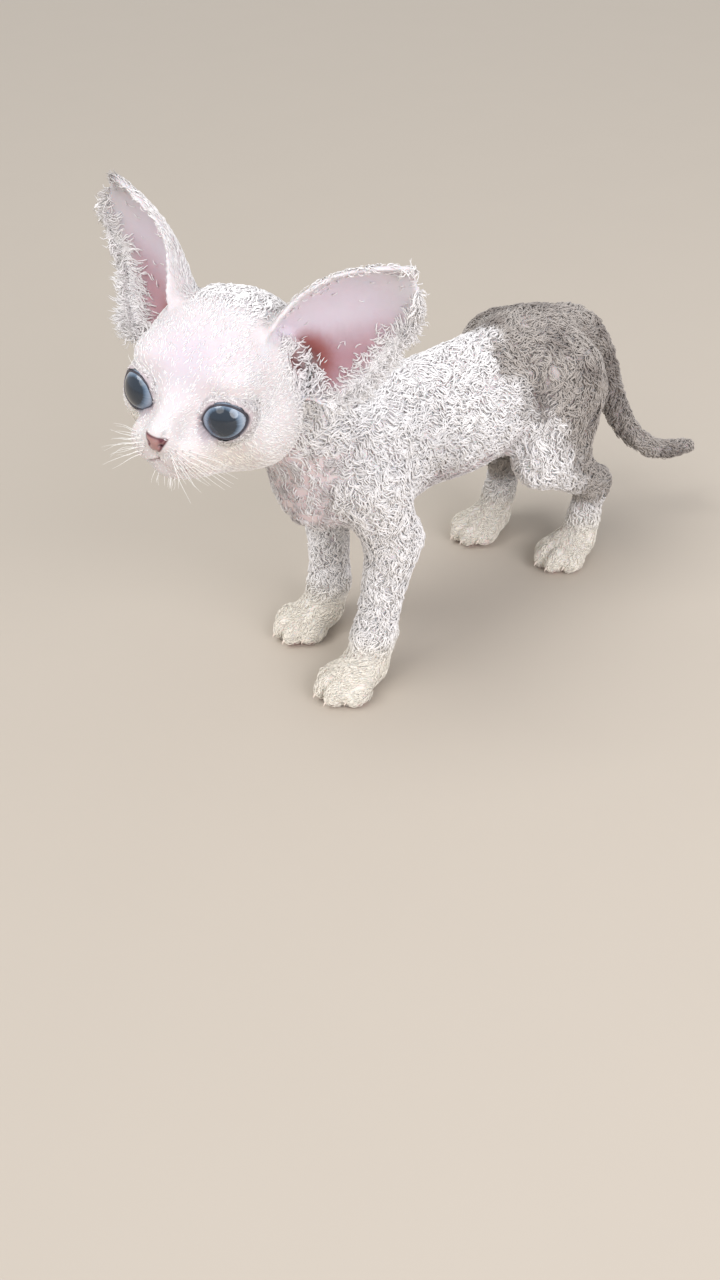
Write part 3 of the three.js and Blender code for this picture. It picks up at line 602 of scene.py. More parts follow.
# Colours. The coat is white, cream on paws and cheeks, and smoke grey on the hind legs, rump and
# tail. The skin is pink, deepest in the ear cups, with dark lid rims and a maroon edge to the nose.
# Painted shade darkens the ear hollows, the nostrils, the mouth's line and cleft, and the down on
# the head.
def linear(colour):
    channels = np.array([int(colour[i : i + 2], 16) for i in (1, 3, 5)]) / 255
    return np.where(channels <= 0.04045, channels / 12.92, ((channels + 0.055) / 1.055) ** 2.4)


COAT_WHITE, COAT_CREAM, COAT_GREY, COAT_SMOKE = map(linear, ("#f8f5f4", "#f3ecdf", "#b3aba4", "#8f8680"))
SKIN_PINK, SKIN_LILAC, FOREHEAD, UNDER_EYE = map(linear, ("#e6cfd1", "#cdb9c0", "#cdc0cb", "#b9b0b5"))
EAR_PALE, EAR_PINK, EAR_ROSE, EAR_DEEP_PINK_AND_HOLLOW_SHADE = map(linear, ("#dcd2dc", "#b28a92", "#985450", "#6d3331"))
NOSE_LEATHER, NOSE_EDGE_AND_NOSTRIL_SHADE, LID_RIM = map(linear, ("#a8807c", "#5a2430", "#43404b"))
PAD_PINK, LIP_EDGE_AND_MOUTH_SHADE, PIT = map(linear, ("#d99a9c", "#8a6064", "#6e625f"))


def wander(p, scale, seed):
    """Smooth random values about -1 to 1 that change over the given distance."""
    random = np.random.default_rng(seed)
    total = np.zeros(len(p))
    for _ in range(6):
        direction = random.normal(size=3)
        direction /= np.linalg.norm(direction)
        turns = p @ direction * (2 * math.pi / scale) * random.uniform(0.6, 1.5)
        total += np.sin(turns + random.uniform(0, 6.3))
    return total / 2.6


def mixed(under, over, share):
    return under + np.asarray(share)[:, None] * (over - under)


def grey_share(p):
    """Where the coat is smoke grey: rump, thighs, shanks and tail, with an uneven edge."""
    _, y, z = p.T
    edge = y + 0.45 * (z - 80) + 15 * wander(p, 60, 3) + 6 * wander(p, 13, 4)
    rear = fade(edge, 30, 52) * (1 - fade(z, 33, 25) * fade(y, 120, 100))
    elbow_fold = hump((y, -8, 14), (z, 78, 13)) * 0.45
    return np.clip(np.maximum(rear, elbow_fold * (0.7 + 0.5 * wander(p, 14, 5))), 0, 1)


right_ear_tip = ear_sheet(np.zeros(1), np.full(1, 0.98), SIDES["right"])[0]


def coat_colour(p):
    q = to_head(p)
    cheek = hump((np.abs(q[:, 0]), 16, 9), (q[:, 2], -12, 8)) * (q[:, 1] < 0)
    cream = np.maximum(fade(p[:, 2], 30, 10), 0.8 * cheek)
    grey = mixed(COAT_GREY, COAT_SMOKE, fade(wander(p, 22, 7), -0.4, 1.2))
    smudge = 0.6 * hump((np.linalg.norm(p - right_ear_tip, axis=1), 0, 7))
    return mixed(mixed(COAT_WHITE, COAT_CREAM, cream), grey, np.maximum(grey_share(p), smudge))


def unit(vectors):
    return vectors / np.maximum(np.linalg.norm(vectors, axis=-1, keepdims=True), 1e-9)


EAR_COLUMNS, EAR_ROWS = 61, 91


def ear_place(p, side, reach):
    """For points near an ear: which they are, u and v on its middle layer, and height inside."""
    u_line, v_line = np.meshgrid(np.linspace(-1, 1, EAR_COLUMNS), np.linspace(EAR_SUNK, EAR_TOP, EAR_ROWS))
    u, v = u_line.ravel(), v_line.ravel()
    cells = ear_sheet(u, v, side)
    across = ear_sheet(u + 0.01, v, side) - ear_sheet(u - 0.01, v, side)
    along = ear_sheet(u, np.minimum(v + 0.01, 0.99), side) - cells
    facing = unit(side * np.cross(across, along))
    boxed = np.nonzero(((p > cells.min(0) - reach) & (p < cells.max(0) + reach)).all(1))[0]
    number, gap = nearest(p[boxed], cells)
    near, number = boxed[gap < reach], number[gap < reach]
    return near, u[number], v[number], ((p[near] - cells[number]) * facing[number]).sum(1)


EAR_REACH = 4.5
OFF_EAR = 9.0
ear_u = np.full(len(points), OFF_EAR)
ear_v = np.zeros(len(points))
ear_inside = np.zeros(len(points))
for side in SIDES.values():
    near, u, v, height = ear_place(points, side, EAR_REACH)
    ear_u[near], ear_v[near] = u, v
    ear_inside[near] = fade(height, -0.1, 0.3)
ear_inside = eased(ear_inside[:, None], pairs, 2)[:, 0]
near_ear = ear_u < OFF_EAR
in_conch = fade(-solid_head(points), COAT_DEPTH + 0.5, COAT_DEPTH + 3) * (np.abs(head_points[:, 0]) > 12)
in_conch = np.where(head_points[:, 2] > -6, in_conch, 0)
under_eye = fade(lid_edge, 4.2, 1.0) * fade(head_points[:, 2] - EYE_CENTRE[2], 0, -4)


def skin_colour(p, q):
    """Each skin tint laid over the last, some painted shade: body, brow, ear cups, pads, mouth, nose and
    lids.
    """
    x, y, z = q.T
    belly = fade(p[:, 2], 84, 66) * fade(p[:, 1], -66, -50) * (p[:, 1] < 60)
    brow = hump((x, 0, 18), (z, 14, 12)) * in_head
    cup = ear_inside * near_ear
    rear = fade(ear_v - 0.75 * ear_u, 0.4, -0.15)
    conch = hump((ear_u, 0.2, 0.42), (ear_v, 0.06, 0.17))
    nose_rim = hump((nose_gap, -0.25, 0.4)) * fade(y, -31, -33)
    streak = hump((x, 2.2, 0.7)) * fade(z, -0.8, -2.2) * fade(z, -6, -4)
    colour = np.tile(SKIN_PINK, (len(p), 1))
    for tint, share in [
        (SKIN_LILAC, np.maximum(belly, grey_share(p) * 0.8)),
        (FOREHEAD, brow),
        (EAR_PALE, cup),
        (EAR_PINK, cup * rear * fade(ear_u, 1.0, 0.8)),
        (EAR_ROSE, cup * fade(conch, 0.15, 0.8)),
        # Conch and hollow go to deep maroon, darkest farthest in: partly the skin's own deep pink, partly
        # painted shade in the hollow.
        (EAR_DEEP_PINK_AND_HOLLOW_SHADE, cup * fade(conch, 0.75, 1.0) * 0.5),
        (mixed(EAR_ROSE, EAR_DEEP_PINK_AND_HOLLOW_SHADE, fade(in_conch, 0.5, 1)), in_conch),
        (PAD_PINK, fade(p[:, 2], 2.4, 0.8)),
        # The mouth's line is darkened, partly the lips' own edge and partly painted shade in the slit; the
        # cleft under the nose is darkened as painted shade in its groove.
        (LIP_EDGE_AND_MOUTH_SHADE, 0.8 * mouth_line + 0.35 * cleft),
        (NOSE_LEATHER, on_nose),
        (NOSE_EDGE_AND_NOSTRIL_SHADE, np.clip(nose_rim + streak * front, 0, 1)),
        # The nostrils take the dark nose-edge colour as painted shade for the dark inside the openings.
        (NOSE_EDGE_AND_NOSTRIL_SHADE, nostril),
        (UNDER_EYE, 0.7 * under_eye),
        (LID_RIM, fade(lid_edge, 1.15, 0.45)),
    ]:
        colour = mixed(colour, tint, share)
    return colour


def store(mesh, name, values, kind):
    attribute = mesh.attributes.new(name, kind, "POINT")
    field = {"FLOAT_COLOR": "color", "FLOAT_VECTOR": "vector", "FLOAT": "value"}[kind]
    if kind == "FLOAT_COLOR":
        values = np.concatenate([values, np.ones((len(values), 1))], 1)
    attribute.data.foreach_set(field, values.astype(np.float32).ravel())


# Rows of whisker pits on each pad, each a small dark freckle
WHISKER_ROWS, WHISKER_COLUMNS = 4, 5
DEPTH_COUNTS = 0.02


def skin_near(wanted, depth_counts=1):
    """The number of the skin's vertex nearest a place in the head's frame."""
    return np.argmin(((head_points - wanted) ** 2 * [1, depth_counts, 1]).sum(1))


whisker_pits = []
for side in SIDES.values():
    for row in range(WHISKER_ROWS):
        for column in range(WHISKER_COLUMNS - (row == 0)):
            wanted = [side * (4.3 + 1.75 * column + 0.4 * row), -40, -7.6 - 1.55 * row + 0.25 * column]
            whisker_pits.append((skin_near(wanted, DEPTH_COUNTS), side, row, column))
pit_share = np.zeros(len(points))
for spot, *_ in whisker_pits:
    off_pit = np.linalg.norm(points - points[spot], axis=1)
    pit_share = np.maximum(pit_share, fade(off_pit, 0.45, 0.15))
store(skin.data, "Wet", np.clip(on_nose + fade(lid_edge, 0.9, 0.3) + 0.4 * mouth_line, 0, 1), "FLOAT")


def part_shares(p):
    """How far each point belongs to each body part, from the parts' own forms."""
    levels = np.stack(part_forms(p), 1)
    weights = np.exp(-np.clip(levels - levels.min(1, keepdims=True), 0, 30) / 2.5)
    return weights / weights.sum(1, keepdims=True)


# The parts of the skin on which the coat differs, and the down so fine that it only tints the skin
skin_normals = listed(skin.data.vertices, "normal", 3)
shares = part_shares(points)
on_head, on_neck, on_trunk = shares[:, 0], shares[:, 1], shares[:, 2]
on_fore, on_hind, on_tail = shares[:, 3] + shares[:, 4], shares[:, 5] + shares[:, 6], shares[:, 7]
x, y, z = head_points.T
height_over_floor = points[:, 2]
face = on_head * fade(y, 6, -8)
bare_brow = on_head * hump((x, 0, 15), (z, 15, 9)) * fade(y, 8, -2)
paw = (on_fore + on_hind) * fade(height_over_floor, 24, 14)
under = (on_trunk + on_neck) * fade(skin_normals[:, 2], -0.1, -0.6)
breast = (on_trunk + on_neck) * fade(skin_normals[:, 1], -0.25, -0.7) * fade(height_over_floor, 112, 98)
throat = on_neck * fade(skin_normals[:, 1], 0, -0.5)
thin = np.clip(np.maximum(np.maximum(under, breast), throat), 0, 1)
on_ear = near_ear * fade(ear_v, 0.0, 0.12)
ear_front = on_ear * ear_inside
ear_back = on_ear * (1 - ear_inside)
fringe = on_ear * fade(ear_u, 0.45, 0.85)
ear_tip = on_ear * fade(ear_v, 0.9, 0.97)

bare = np.clip(np.maximum(0.75 * thin, 0.7 * bare_brow), 0, 1)
ear_edge = fade(np.abs(ear_u), 0.6, 1.0)
down = (0.8 - 0.1 * face) * (1 - bare) * (1 - ear_front) * (1 - 0.45 * under_eye)
down += 0.7 * ear_front * ear_edge
down += 0.6 * ear_front * fade(ear_v, 0.6, 0.95) * (1 - ear_edge)
down *= 1 - in_conch
down *= fade(lid_edge, 0.5, 2.0) * (1 - on_nose) * fade(height_over_floor, 1.0, 3.0) * (1 - mouth_line)
# The down takes the coat's colour, dimmed a little on the body and more on the head: painted shade.
down_colour_with_painted_shade = coat_colour(points) * (0.95 - 0.22 * on_head)[:, None]
skin_tint = mixed(skin_colour(points, head_points), down_colour_with_painted_shade, np.clip(down, 0, 1))
store(skin.data, "Tint", mixed(skin_tint, PIT, 0.75 * pit_share), "FLOAT_COLOR")


def node(tree, kind, links=(), **settings):
    """Adds one shader node with its settings, and links (input, source node, output)."""
    made = tree.nodes.new("ShaderNode" + kind)
    for name, value in settings.items():
        if hasattr(made, name):
            setattr(made, name, value)
        else:
            made.inputs[name.replace("_", " ")].default_value = value
    for into, source, out in links:
        tree.links.new(source.outputs[out], made.inputs[into])
    return made


def new_material(name):
    made = bpy.data.materials.new(name)
    made.use_nodes = True
    made.node_tree.nodes.clear()
    return made, made.node_tree


def mottled(tree, colour, per_metre, detail, low, high):
    """A colour whose lightness wanders between two shares of its own, so many times in a metre."""
    place = node(tree, "TexCoord")
    cloud = node(tree, "TexNoise", [("Vector", place, "Object")], Scale=per_metre, Detail=detail)
    level = node(tree, "MapRange", [("Value", cloud, "Fac")], To_Min=low, To_Max=high)
    links = [(0, colour, "Color"), ("Scale", level, "Result")]
    return node(tree, "VectorMath", links, operation="SCALE")


# Bare kitten skin: soft and slightly translucent, with a grain of about 0.7 mm and blotches of
# about 7 mm, and a little sheen from the down on it. Nose, lids' edges and lips are wet.
GRAIN_PER_METRE, BLOTCH_PER_METRE = 1400, 140
skin_material, tree = new_material("bare_kitten_skin")
tint = node(tree, "Attribute", attribute_name="Tint")
wetness = node(tree, "Attribute", attribute_name="Wet")
place = node(tree, "TexCoord")
grain = node(tree, "TexNoise", [("Vector", place, "Object")], Scale=GRAIN_PER_METRE, Detail=3.0)
bump = node(tree, "Bump", [("Height", grain, "Fac")], Strength=0.25, Distance=0.0002)
gloss = node(tree, "MapRange", [("Value", wetness, "Fac")], To_Min=0.62, To_Max=0.28)
shade = mottled(tree, tint, BLOTCH_PER_METRE, 4.0, 0.93, 1.05)
links = [("Base Color", shade, "Vector"), ("Roughness", gloss, "Result"), ("Normal", bump, "Normal")]
scatter = {"Subsurface_Weight": 0.25, "Subsurface_Radius": (1.0, 0.35, 0.25), "Subsurface_Scale": 0.002}
surface = node(tree, "BsdfPrincipled", links, **scatter, Sheen_Weight=0.15)
node(tree, "OutputMaterial", [("Surface", surface, "BSDF")])
skin.data.materials.clear()
skin.data.materials.append(skin_material)

# The skin's own unwrap, which the coat's bake map borrows its places from
bpy.context.view_layer.objects.active = skin
skin.select_set(True)
bpy.ops.object.mode_set(mode="EDIT")
bpy.ops.mesh.select_all(action="SELECT")
bpy.ops.uv.smart_project(angle_limit=math.radians(66), island_margin=0.002)
bpy.ops.object.mode_set(mode="OBJECT")
skin.select_set(False)
skin.data.uv_layers[0].name = "OFBake"
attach(skin, "root")
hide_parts(*FLESH, *EARS)

# Eyes: wet balls with a clear bulge in front, blue-grey irises with a dark rim, wide dark pupils.
# They sit in the sockets where the solids have them, and the lids' edges close round them.
PUPIL, IRIS, WHITE = 4.4, 6.8, 10.0
CORNEA_RISE = 0.7
LID_CLEARANCE = 0.1
eye_material, tree = new_material("wet_kitten_eye")
place = node(tree, "Attribute", attribute_name="EyePlace")
parts = node(tree, "SeparateXYZ", [("Vector", place, "Vector")])
disc = node(tree, "CombineXYZ", [("X", parts, "X"), ("Y", parts, "Y")])
radius_out = node(tree, "VectorMath", [(0, disc, "Vector")], operation="LENGTH")
ray = node(tree, "VectorMath", [(0, disc, "Vector")], operation="NORMALIZE")
fibres = node(tree, "TexNoise", [("Vector", ray, "Vector")], Scale=9.0, Detail=6.0)
jitter = node(tree, "MapRange", [("Value", fibres, "Fac")], To_Min=-0.45, To_Max=0.45)
reach = node(tree, "Math", [(0, radius_out, "Value"), (1, jitter, "Result")], operation="ADD")
share = node(tree, "MapRange", [("Value", reach, "Value")], From_Max=WHITE)
ramp = node(tree, "ValToRGB", [("Fac", share, "Result")])
stops = [
    (0.0, "#1c2733"),
    (PUPIL / WHITE - 0.03, "#202c39"),
    (PUPIL / WHITE + 0.02, "#4d6074"),
    (0.54, "#8495a9"),
    (IRIS / WHITE - 0.06, "#a8b3c2"),
    (IRIS / WHITE, "#39414e"),
    (IRIS / WHITE + 0.05, "#c4c4c8"),
]
while len(ramp.color_ramp.elements) < len(stops):
    ramp.color_ramp.elements.new(1.0)
for element, (position, colour) in zip(ramp.color_ramp.elements, stops):
    element.position = position
    element.color = (*linear(colour), 1)
links = [("Base Color", ramp, "Color")]
surface = node(tree, "BsdfPrincipled", links, Roughness=0.12, IOR=1.38, Coat_Weight=1.0, Coat_Roughness=0.02)
node(tree, "OutputMaterial", [("Surface", surface, "BSDF")])

for word, side in SIDES.items():
    ball = bmesh.new()
    bmesh.ops.create_uvsphere(ball, u_segments=64, v_segments=64, radius=1)
    local = np.array([v.co for v in ball.verts])
    bulge = CORNEA_RISE * fade(local[:, 2], 0.35, 0.95)
    local = local * (EYE_RADIUS - LID_CLEARANCE + bulge)[:, None]
    world = from_head(local @ gaze_frame(side).T + EYE_CENTRE * [side, 1, 1])
    for vert, target in zip(ball.verts, to_metres(world)):
        vert.co = target
    ball.normal_update()
    bmesh.ops.recalc_face_normals(ball, faces=ball.faces)
    mesh = mesh_from(ball, "eyeball_" + word)
    store(mesh, "EyePlace", local, "FLOAT_VECTOR")
    mesh.shade_smooth()
    mesh.materials.append(eye_material)
    eyeball = add_object("eyeball_" + word, mesh)
    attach(eyeball, "root")
    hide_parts("eye_" + word)


# Lid rims: the dark, damp edge of each kitten's eyelid, a thin roll of bare skin that lies on the
# eyeball along the whole opening. Each is a thin round rod bent to the lids' own edge.
def rods(name, routes, radii, rounding, material):
    """One piece of many tapered rods. Routes are lists of points in mm, with one radius a point."""
    curve = bpy.data.curves.new(name, "CURVE")
    curve.dimensions = "3D"
    curve.bevel_depth = MM
    curve.bevel_resolution = rounding
    curve.use_fill_caps = True
    for route, sizes in zip(routes, radii):
        closed = np.allclose(route[0], route[-1])
        kept = route[:-1] if closed else route
        spline = curve.splines.new("POLY")
        spline.points.add(len(kept) - 1)
        for point, place, size in zip(spline.points, to_metres(np.array(kept)), sizes):
            point.co = (*place, 1)
            point.radius = size
        spline.use_cyclic_u = closed
    loose = add_object(name + "_curve", curve)
    mesh = finished_mesh(loose)
    bpy.data.objects.remove(loose)
    bpy.data.curves.remove(curve)
    mesh.name = name
    mesh.materials.append(material)
    mesh.shade_smooth()
    piece = add_object(name, mesh)
    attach(piece, "root")


def plain_material(name, colour, roughness, spread, scale):
    """A material of one hue whose lightness wanders by the spread over the scale, in mm."""
    made, tree = new_material(name)
    hue = node(tree, "RGB")
    hue.outputs[0].default_value = (*linear(colour), 1)
    shade = mottled(tree, hue, 1000 / scale, 3.0, 1 - spread, 1 + spread)
    surface = node(tree, "BsdfPrincipled", [("Base Color", shade, "Vector")], Roughness=roughness)
    node(tree, "OutputMaterial", [("Surface", surface, "BSDF")])
    return made


RIM_POINTS, RIM_RADIUS = 72, 0.42
RIM_INSIDE, RIM_PROUD, RIM_ROUNDS = 0.12, 0.3, 12
rim_material = plain_material("dark_lid_rim", "#3b3842", 0.35, 0.2, 1.0)
rim_routes = []
for side in SIDES.values():
    turns = np.linspace(0, 2 * math.pi, RIM_POINTS + 1)
    across = EYE_HALF_LENGTH * np.cos(turns)
    up = EYE_HALF_HEIGHT * np.sin(turns)
    for _ in range(RIM_ROUNDS):
        gap = lid_gap(across, up) - RIM_INSIDE
        out = np.maximum(np.hypot(across, up), 0.1)
        across, up = across * (1 - gap / out), up * (1 - gap / out)
    ahead = np.sqrt(np.maximum((EYE_RADIUS + RIM_PROUD) ** 2 - across**2 - up**2, 0))
    local = np.stack([across, up, ahead], 1)
    rim_routes.append(from_head(local @ gaze_frame(side).T + EYE_CENTRE * [side, 1, 1]))
rods("lid_rims", rim_routes, [np.full(RIM_POINTS, RIM_RADIUS)] * 2, 2, rim_material)

# Claws: small smooth hooks of pale horn, one in front of each toe, with their roots sunk in the
# toe's fur and their points turned down.
CLAW_SUNK, CLAW_HEIGHT = 0.3, 3.6
CLAW_BEND = np.array([[0, 1.6, 0.9], [0, 0.3, 0.7], [0, -0.8, -0.1], [0, -1.3, -1.0]])
CLAW_RADII = [0.62, 0.55, 0.36, 0.1]
claw_material = plain_material("pale_horn_claw", "#e3d5c8", 0.3, 0.05, 1.0)
claw_routes = []
for kind in LEGS:
    for word in SIDES:
        palm, width, length, _ = paw_of(kind, word)
        for toe_x, toe_y, radii in toe_places(palm, width, length, 0):
            root = np.array([toe_x, toe_y - (radii[1] - CLAW_SUNK), CLAW_HEIGHT])
            claw_routes.append(root + CLAW_BEND)
rods("claws", claw_routes, [CLAW_RADII] * len(claw_routes), 2, claw_material)

# Whiskers: short, white, stiff hairs that taper to a point. They stand in the pits of the pads,
# over the eyes and under the chin, and each is bent a little along its own route.
HAIR_POINTS = 9
HAIR_SUNK = 0.4
BROW_HAIRS, CHIN_HAIRS = 4, 14
whisker_material = plain_material("white_whisker", "#f4f2ee", 0.35, 0.02, 5)
random = np.random.default_rng(7)
whisker_routes = []


def hair_route(root, ahead, size, droop):
    """A hair from its root in head frame, bending as it goes."""
    t = np.linspace(0, 1, HAIR_POINTS)[:, None]
    ahead = np.array(ahead, float) / np.linalg.norm(ahead)
    sway = 0.06 * size * np.sin(t * random.uniform(3, 6) + random.uniform(0, 6)) * random.normal(size=3)
    route = root - HAIR_SUNK * ahead + ahead * size * t + np.array(droop) * size * t**2 + sway * t
    whisker_routes.append(from_head(route))


for spot, side, row, column in whisker_pits:
    spread = [side * (0.8 + 0.1 * column), -0.75 + 0.28 * column, 0.1 - 0.16 * row]
    hair_route(head_points[spot], spread, random.uniform(7, 13), [0.1 * side, 0.22, -0.3])
for side in SIDES.values():
    for number in range(BROW_HAIRS):
        spot = skin_near([side * (11 + 1.4 * number), -26, 9.5 - 0.5 * number])
        spread = [side * (0.2 + 0.15 * number), -0.7, 0.9]
        hair_route(head_points[spot], spread, random.uniform(6, 9), [0.1 * side, 0.5, 0])
for number in range(CHIN_HAIRS):
    spot = skin_near([random.uniform(-5, 5), -33, random.uniform(-22, -18)])
    spread = [random.uniform(-0.3, 0.3), -0.5, -1]
    hair_route(head_points[spot], spread, random.uniform(3, 5), [0, 0.2, -0.1])
whisker_radii = [np.linspace(0.13, 0.03, HAIR_POINTS)] * len(whisker_routes)
rods("whiskers", whisker_routes, whisker_radii, 0, whisker_material)

# The coat: soft curly down, white with a cream cast, smoke grey behind. Every tuft is a closed,
# tapered, three-sided strand that roots in the skin, follows the lie of the fur and waves with
# its neighbours. It is longest on nape, ear edges, shoulders and elbows, and thin on the chest.
TUFTS, TUFTS_IN_PIECE = 68000, 8500
STATIONS = 5
CLUMPS = 5200
WAVE_LENGTH = 6.5
random = np.random.default_rng(41)


def leg_lie(p, kind, word):
    """Down the leg's bones, then forward over the paw."""
    shoulder, elbow, wrist, _ = joints(kind, word)
    down_upper, down_lower = unit(elbow - shoulder), unit(wrist - elbow)
    lie = down_upper + fade(p[:, 2], elbow[2] + 12, elbow[2] - 8)[:, None] * (down_lower - down_upper)
    return lie + fade(p[:, 2], 24, 13)[:, None] * (np.array([0, -1.0, -0.35]) - lie)


def lie_field(p):
    """The direction in which the coat lies at each point."""
    q = to_head(p)
    forehead = fade(q[:, 2], -6, 6)
    sideways = 0.35 * np.sign(q[:, 0]) * fade(np.abs(q[:, 0]), 0, 8)
    upward = 0.5 * forehead - 0.45 * (1 - forehead) - 1.1 * fade(q[:, 1], 2, 14)
    head_lie = from_head(np.stack([sideways, np.ones(len(p)), upward], 1)) - from_head(np.zeros((1, 3)))
    lies = [head_lie, np.array([[0.0, 0.75, -0.65]]), np.array([[0, 1.0, -0.3]])]
    lies += [leg_lie(p, kind, word) for kind in LEGS for word in SIDES]
    nearest_link = np.linalg.norm(p[:, None, :] - tail_line[None, :, :], axis=2).argmin(1)
    lies.append(unit(np.gradient(tail_line, axis=0))[nearest_link])
    return sum(share[:, None] * lie for share, lie in zip(part_shares(p).T, lies))


def swapped(values, other, share):
    return values * (1 - share) + other * share


# How dense, long, high and wide the tufts are, in millimetres, and how far they curl
muzzle = fade(head_points[:, 1], -20, -30) * on_head
furred_ear = on_ear * (1 - fringe)
cup_middle = ear_front * fade(np.abs(ear_u), 0.75, 0.45) * fade(ear_v, 0.95, 0.75)
density = 1.3 * (1 - 0.5 * thin) * (1 + 0.7 * face) * (1 - 0.85 * bare_brow) * (1 + 0.6 * paw)
density = swapped(swapped(density, 0.25 + 1.35 * ear_back, on_ear), 3.1, fringe) + 0.7 * ear_tip
density *= (1 - in_conch) * (1 - 0.9 * cup_middle)
density *= fade(lid_edge, 0.8, 1.6) * (1 - on_nose) * fade(height_over_floor, 0.4, 2.2)
length = 5.6 + 1.2 * on_fore + 0.4 * on_hind - 0.8 * on_tail + 1.2 * on_neck
length = length * (1 - 0.25 * thin) * (1 - 0.6 * face) * (1 - 0.52 * paw)
length = swapped(length, 2.3 + 0.4 * ear_back, on_ear)
length = swapped(swapped(length, 9.0 - 4.2 * ear_v, fringe), 4.8, ear_tip) * (1 - 0.35 * muzzle)
height = 1.5 * (1 - 0.8 * face) * (1 - 0.6 * paw) * (1 - 0.3 * thin)
height = swapped(height, 0.75 + 2.6 * fringe, on_ear) * (1 - 0.4 * muzzle)
width = 0.84 - 0.5 * face - 0.3 * paw - 0.4 * furred_ear - 0.25 * thin - 0.2 * fringe
curl = 1 - 0.8 * face - 0.35 * paw - 0.6 * furred_ear

# Tufts are drawn over the skin's triangles, and each takes its root's values from the corners
corners = listed(skin.data.loops, "vertex_index", 1, int)[:, 0]
skin.data.calc_loop_triangles()
loop_ids = listed(skin.data.loop_triangles, "loops", 3, int)
triangles = corners[loop_ids]
first, second, third = points[triangles].transpose(1, 0, 2)
areas = np.linalg.norm(np.cross(second - first, third - first), axis=1)
chance = areas * density[triangles].mean(1)
chosen = random.choice(len(triangles), TUFTS, p=chance / chance.sum())
weights = random.dirichlet([1, 1, 1], TUFTS)


def between(corner_values):
    return np.einsum("ij...,ij->i...", corner_values, weights)


def at_roots(values):
    return between(values[triangles[chosen]])


roots = at_roots(points)
root_normals = unit(at_roots(skin_normals))
root_uv = between(listed(skin.data.uv_layers["OFBake"].data, "uv", 2)[loop_ids[chosen]])
tuft_length = at_roots(length) * random.uniform(0.72, 1.28, TUFTS)
tuft_height = at_roots(height) * random.uniform(0.35, 1.25, TUFTS)
tuft_width = at_roots(width) * random.uniform(0.75, 1.3, TUFTS)
tuft_curl = np.clip(at_roots(curl), 0.05, 1.2)
root_fringe, root_ear, root_tip = at_roots(fringe), at_roots(on_ear), at_roots(ear_tip)

# The lie runs along the skin, and on the ears towards tip and edge
ROOT_REACH = 4.0
lie = lie_field(roots)
for side in SIDES.values():
    near, u, v, _ = ear_place(roots, side, ROOT_REACH)
    here = ear_sheet(u, v, side)
    tipward = unit(ear_sheet(u, np.minimum(v + 0.03, EAR_TOP), side) - here)
    outward = unit(ear_sheet(u + 0.03, v, side) - here)
    from_middle = 0.5 * np.sign(u) * (np.abs(u) > 0.5) + 1.5 * root_fringe[near]
    ear_lie = tipward + from_middle[:, None] * outward
    lie[near] = swapped(lie[near], ear_lie, root_ear[near][:, None])


def along_ground(headings, normals):
    """Headings laid flat on the surface that has the normals."""
    return unit(headings - (headings * normals).sum(-1, keepdims=True) * normals)


def swung(headings, normals, angles):
    sideways = np.cross(normals, headings)
    return headings * np.cos(angles)[:, None] + sideways * np.sin(angles)[:, None]


swing = 0.35 * random.normal(size=TUFTS) + 0.45 * wander(roots, 17, 11) * tuft_curl
heading = swung(along_ground(lie, root_normals), root_normals, swing)

# Each tuft grows station by station. It waves along the skin, rises to its height over the skin
# and sinks again at the tip, but on the ears' edges and tips it stands free.
ROOT_DEPTH = 0.35
WAVE_SWING = 1.05
phase = 2.8 * wander(roots, 12, 17) + 0.38 * random.normal(size=TUFTS)
free = np.clip(1.3 * root_fringe + 0.6 * root_tip, 0, 1)
step = tuft_length / (STATIONS - 1)
stations = [roots - ROOT_DEPTH * root_normals]
normals_along = [root_normals]
for station in range(1, STATIONS):
    share = station / (STATIONS - 1)
    bend = tuft_curl * WAVE_SWING * np.cos(phase + 2 * math.pi * share * tuft_length / WAVE_LENGTH)
    place = stations[-1] + swung(heading, normals_along[-1], bend) * step[:, None]
    ground = nearest(place, points)[0]
    ground_normal = skin_normals[ground]
    level = ((place - points[ground]) * ground_normal).sum(1)
    rise = tuft_height * math.sin(math.pi * (0.12 + 0.55 * share)) - 0.15
    lift = (rise - level) * (1 - free) + free * 0.25
    stations.append(place + lift[:, None] * ground_normal)
    blended = unit(normals_along[-1] * 0.5 + ground_normal * 0.5)
    normals_along.append(np.where(free[:, None] > 0.5, normals_along[-1], blended))
    heading = along_ground(heading, normals_along[-1])
paths = np.stack(stations, 1)

# Tips draw together into small locks, as damp curls do
GATHER, GATHER_POWER = 0.62, 1.4
guides = random.choice(TUFTS, CLUMPS, replace=False)
guide = guides[nearest(roots, roots[guides])[0]]
same_side = (root_normals * root_normals[guide]).sum(1) > 0.6
pull = GATHER * tuft_curl * same_side * random.uniform(0.4, 1.1, TUFTS)
gather = (np.linspace(0, 1, STATIONS) ** GATHER_POWER)[None, :, None] * pull[:, None, None]
paths = paths + gather * (paths[guide] - paths)

# A ring of three corners at each station and a point at the tip
RING_ANGLES = np.radians([90, 210, 330])
TAPER = np.array([0.8, 1.0, 0.95, 0.7])
FLATNESS = 0.45
tangents = unit(np.gradient(paths, axis=1))
outs = along_ground(np.stack(normals_along, 1), tangents)
sides_of = np.cross(tangents, outs)
rings = []
for corner in RING_ANGLES:
    flat = sides_of[:, :-1] * math.cos(corner) + outs[:, :-1] * (FLATNESS * math.sin(corner))
    rings.append(paths[:, :-1] + flat * (0.5 * tuft_width[:, None] * TAPER)[:, :, None])
strand = np.concatenate([np.stack(rings, 2).reshape(TUFTS, -1, 3), paths[:, -1:]], 1)
faces = [(0, 1, 2)]
for ring in range(STATIONS - 2):
    for corner in range(3):
        a, b = 3 * ring + corner, 3 * ring + (corner + 1) % 3
        faces += [(b, a, b + 3), (b + 3, a, a + 3)]
last = 3 * (STATIONS - 2)
faces += [(last + (c + 1) % 3, last + c, last + 3) for c in range(3)]
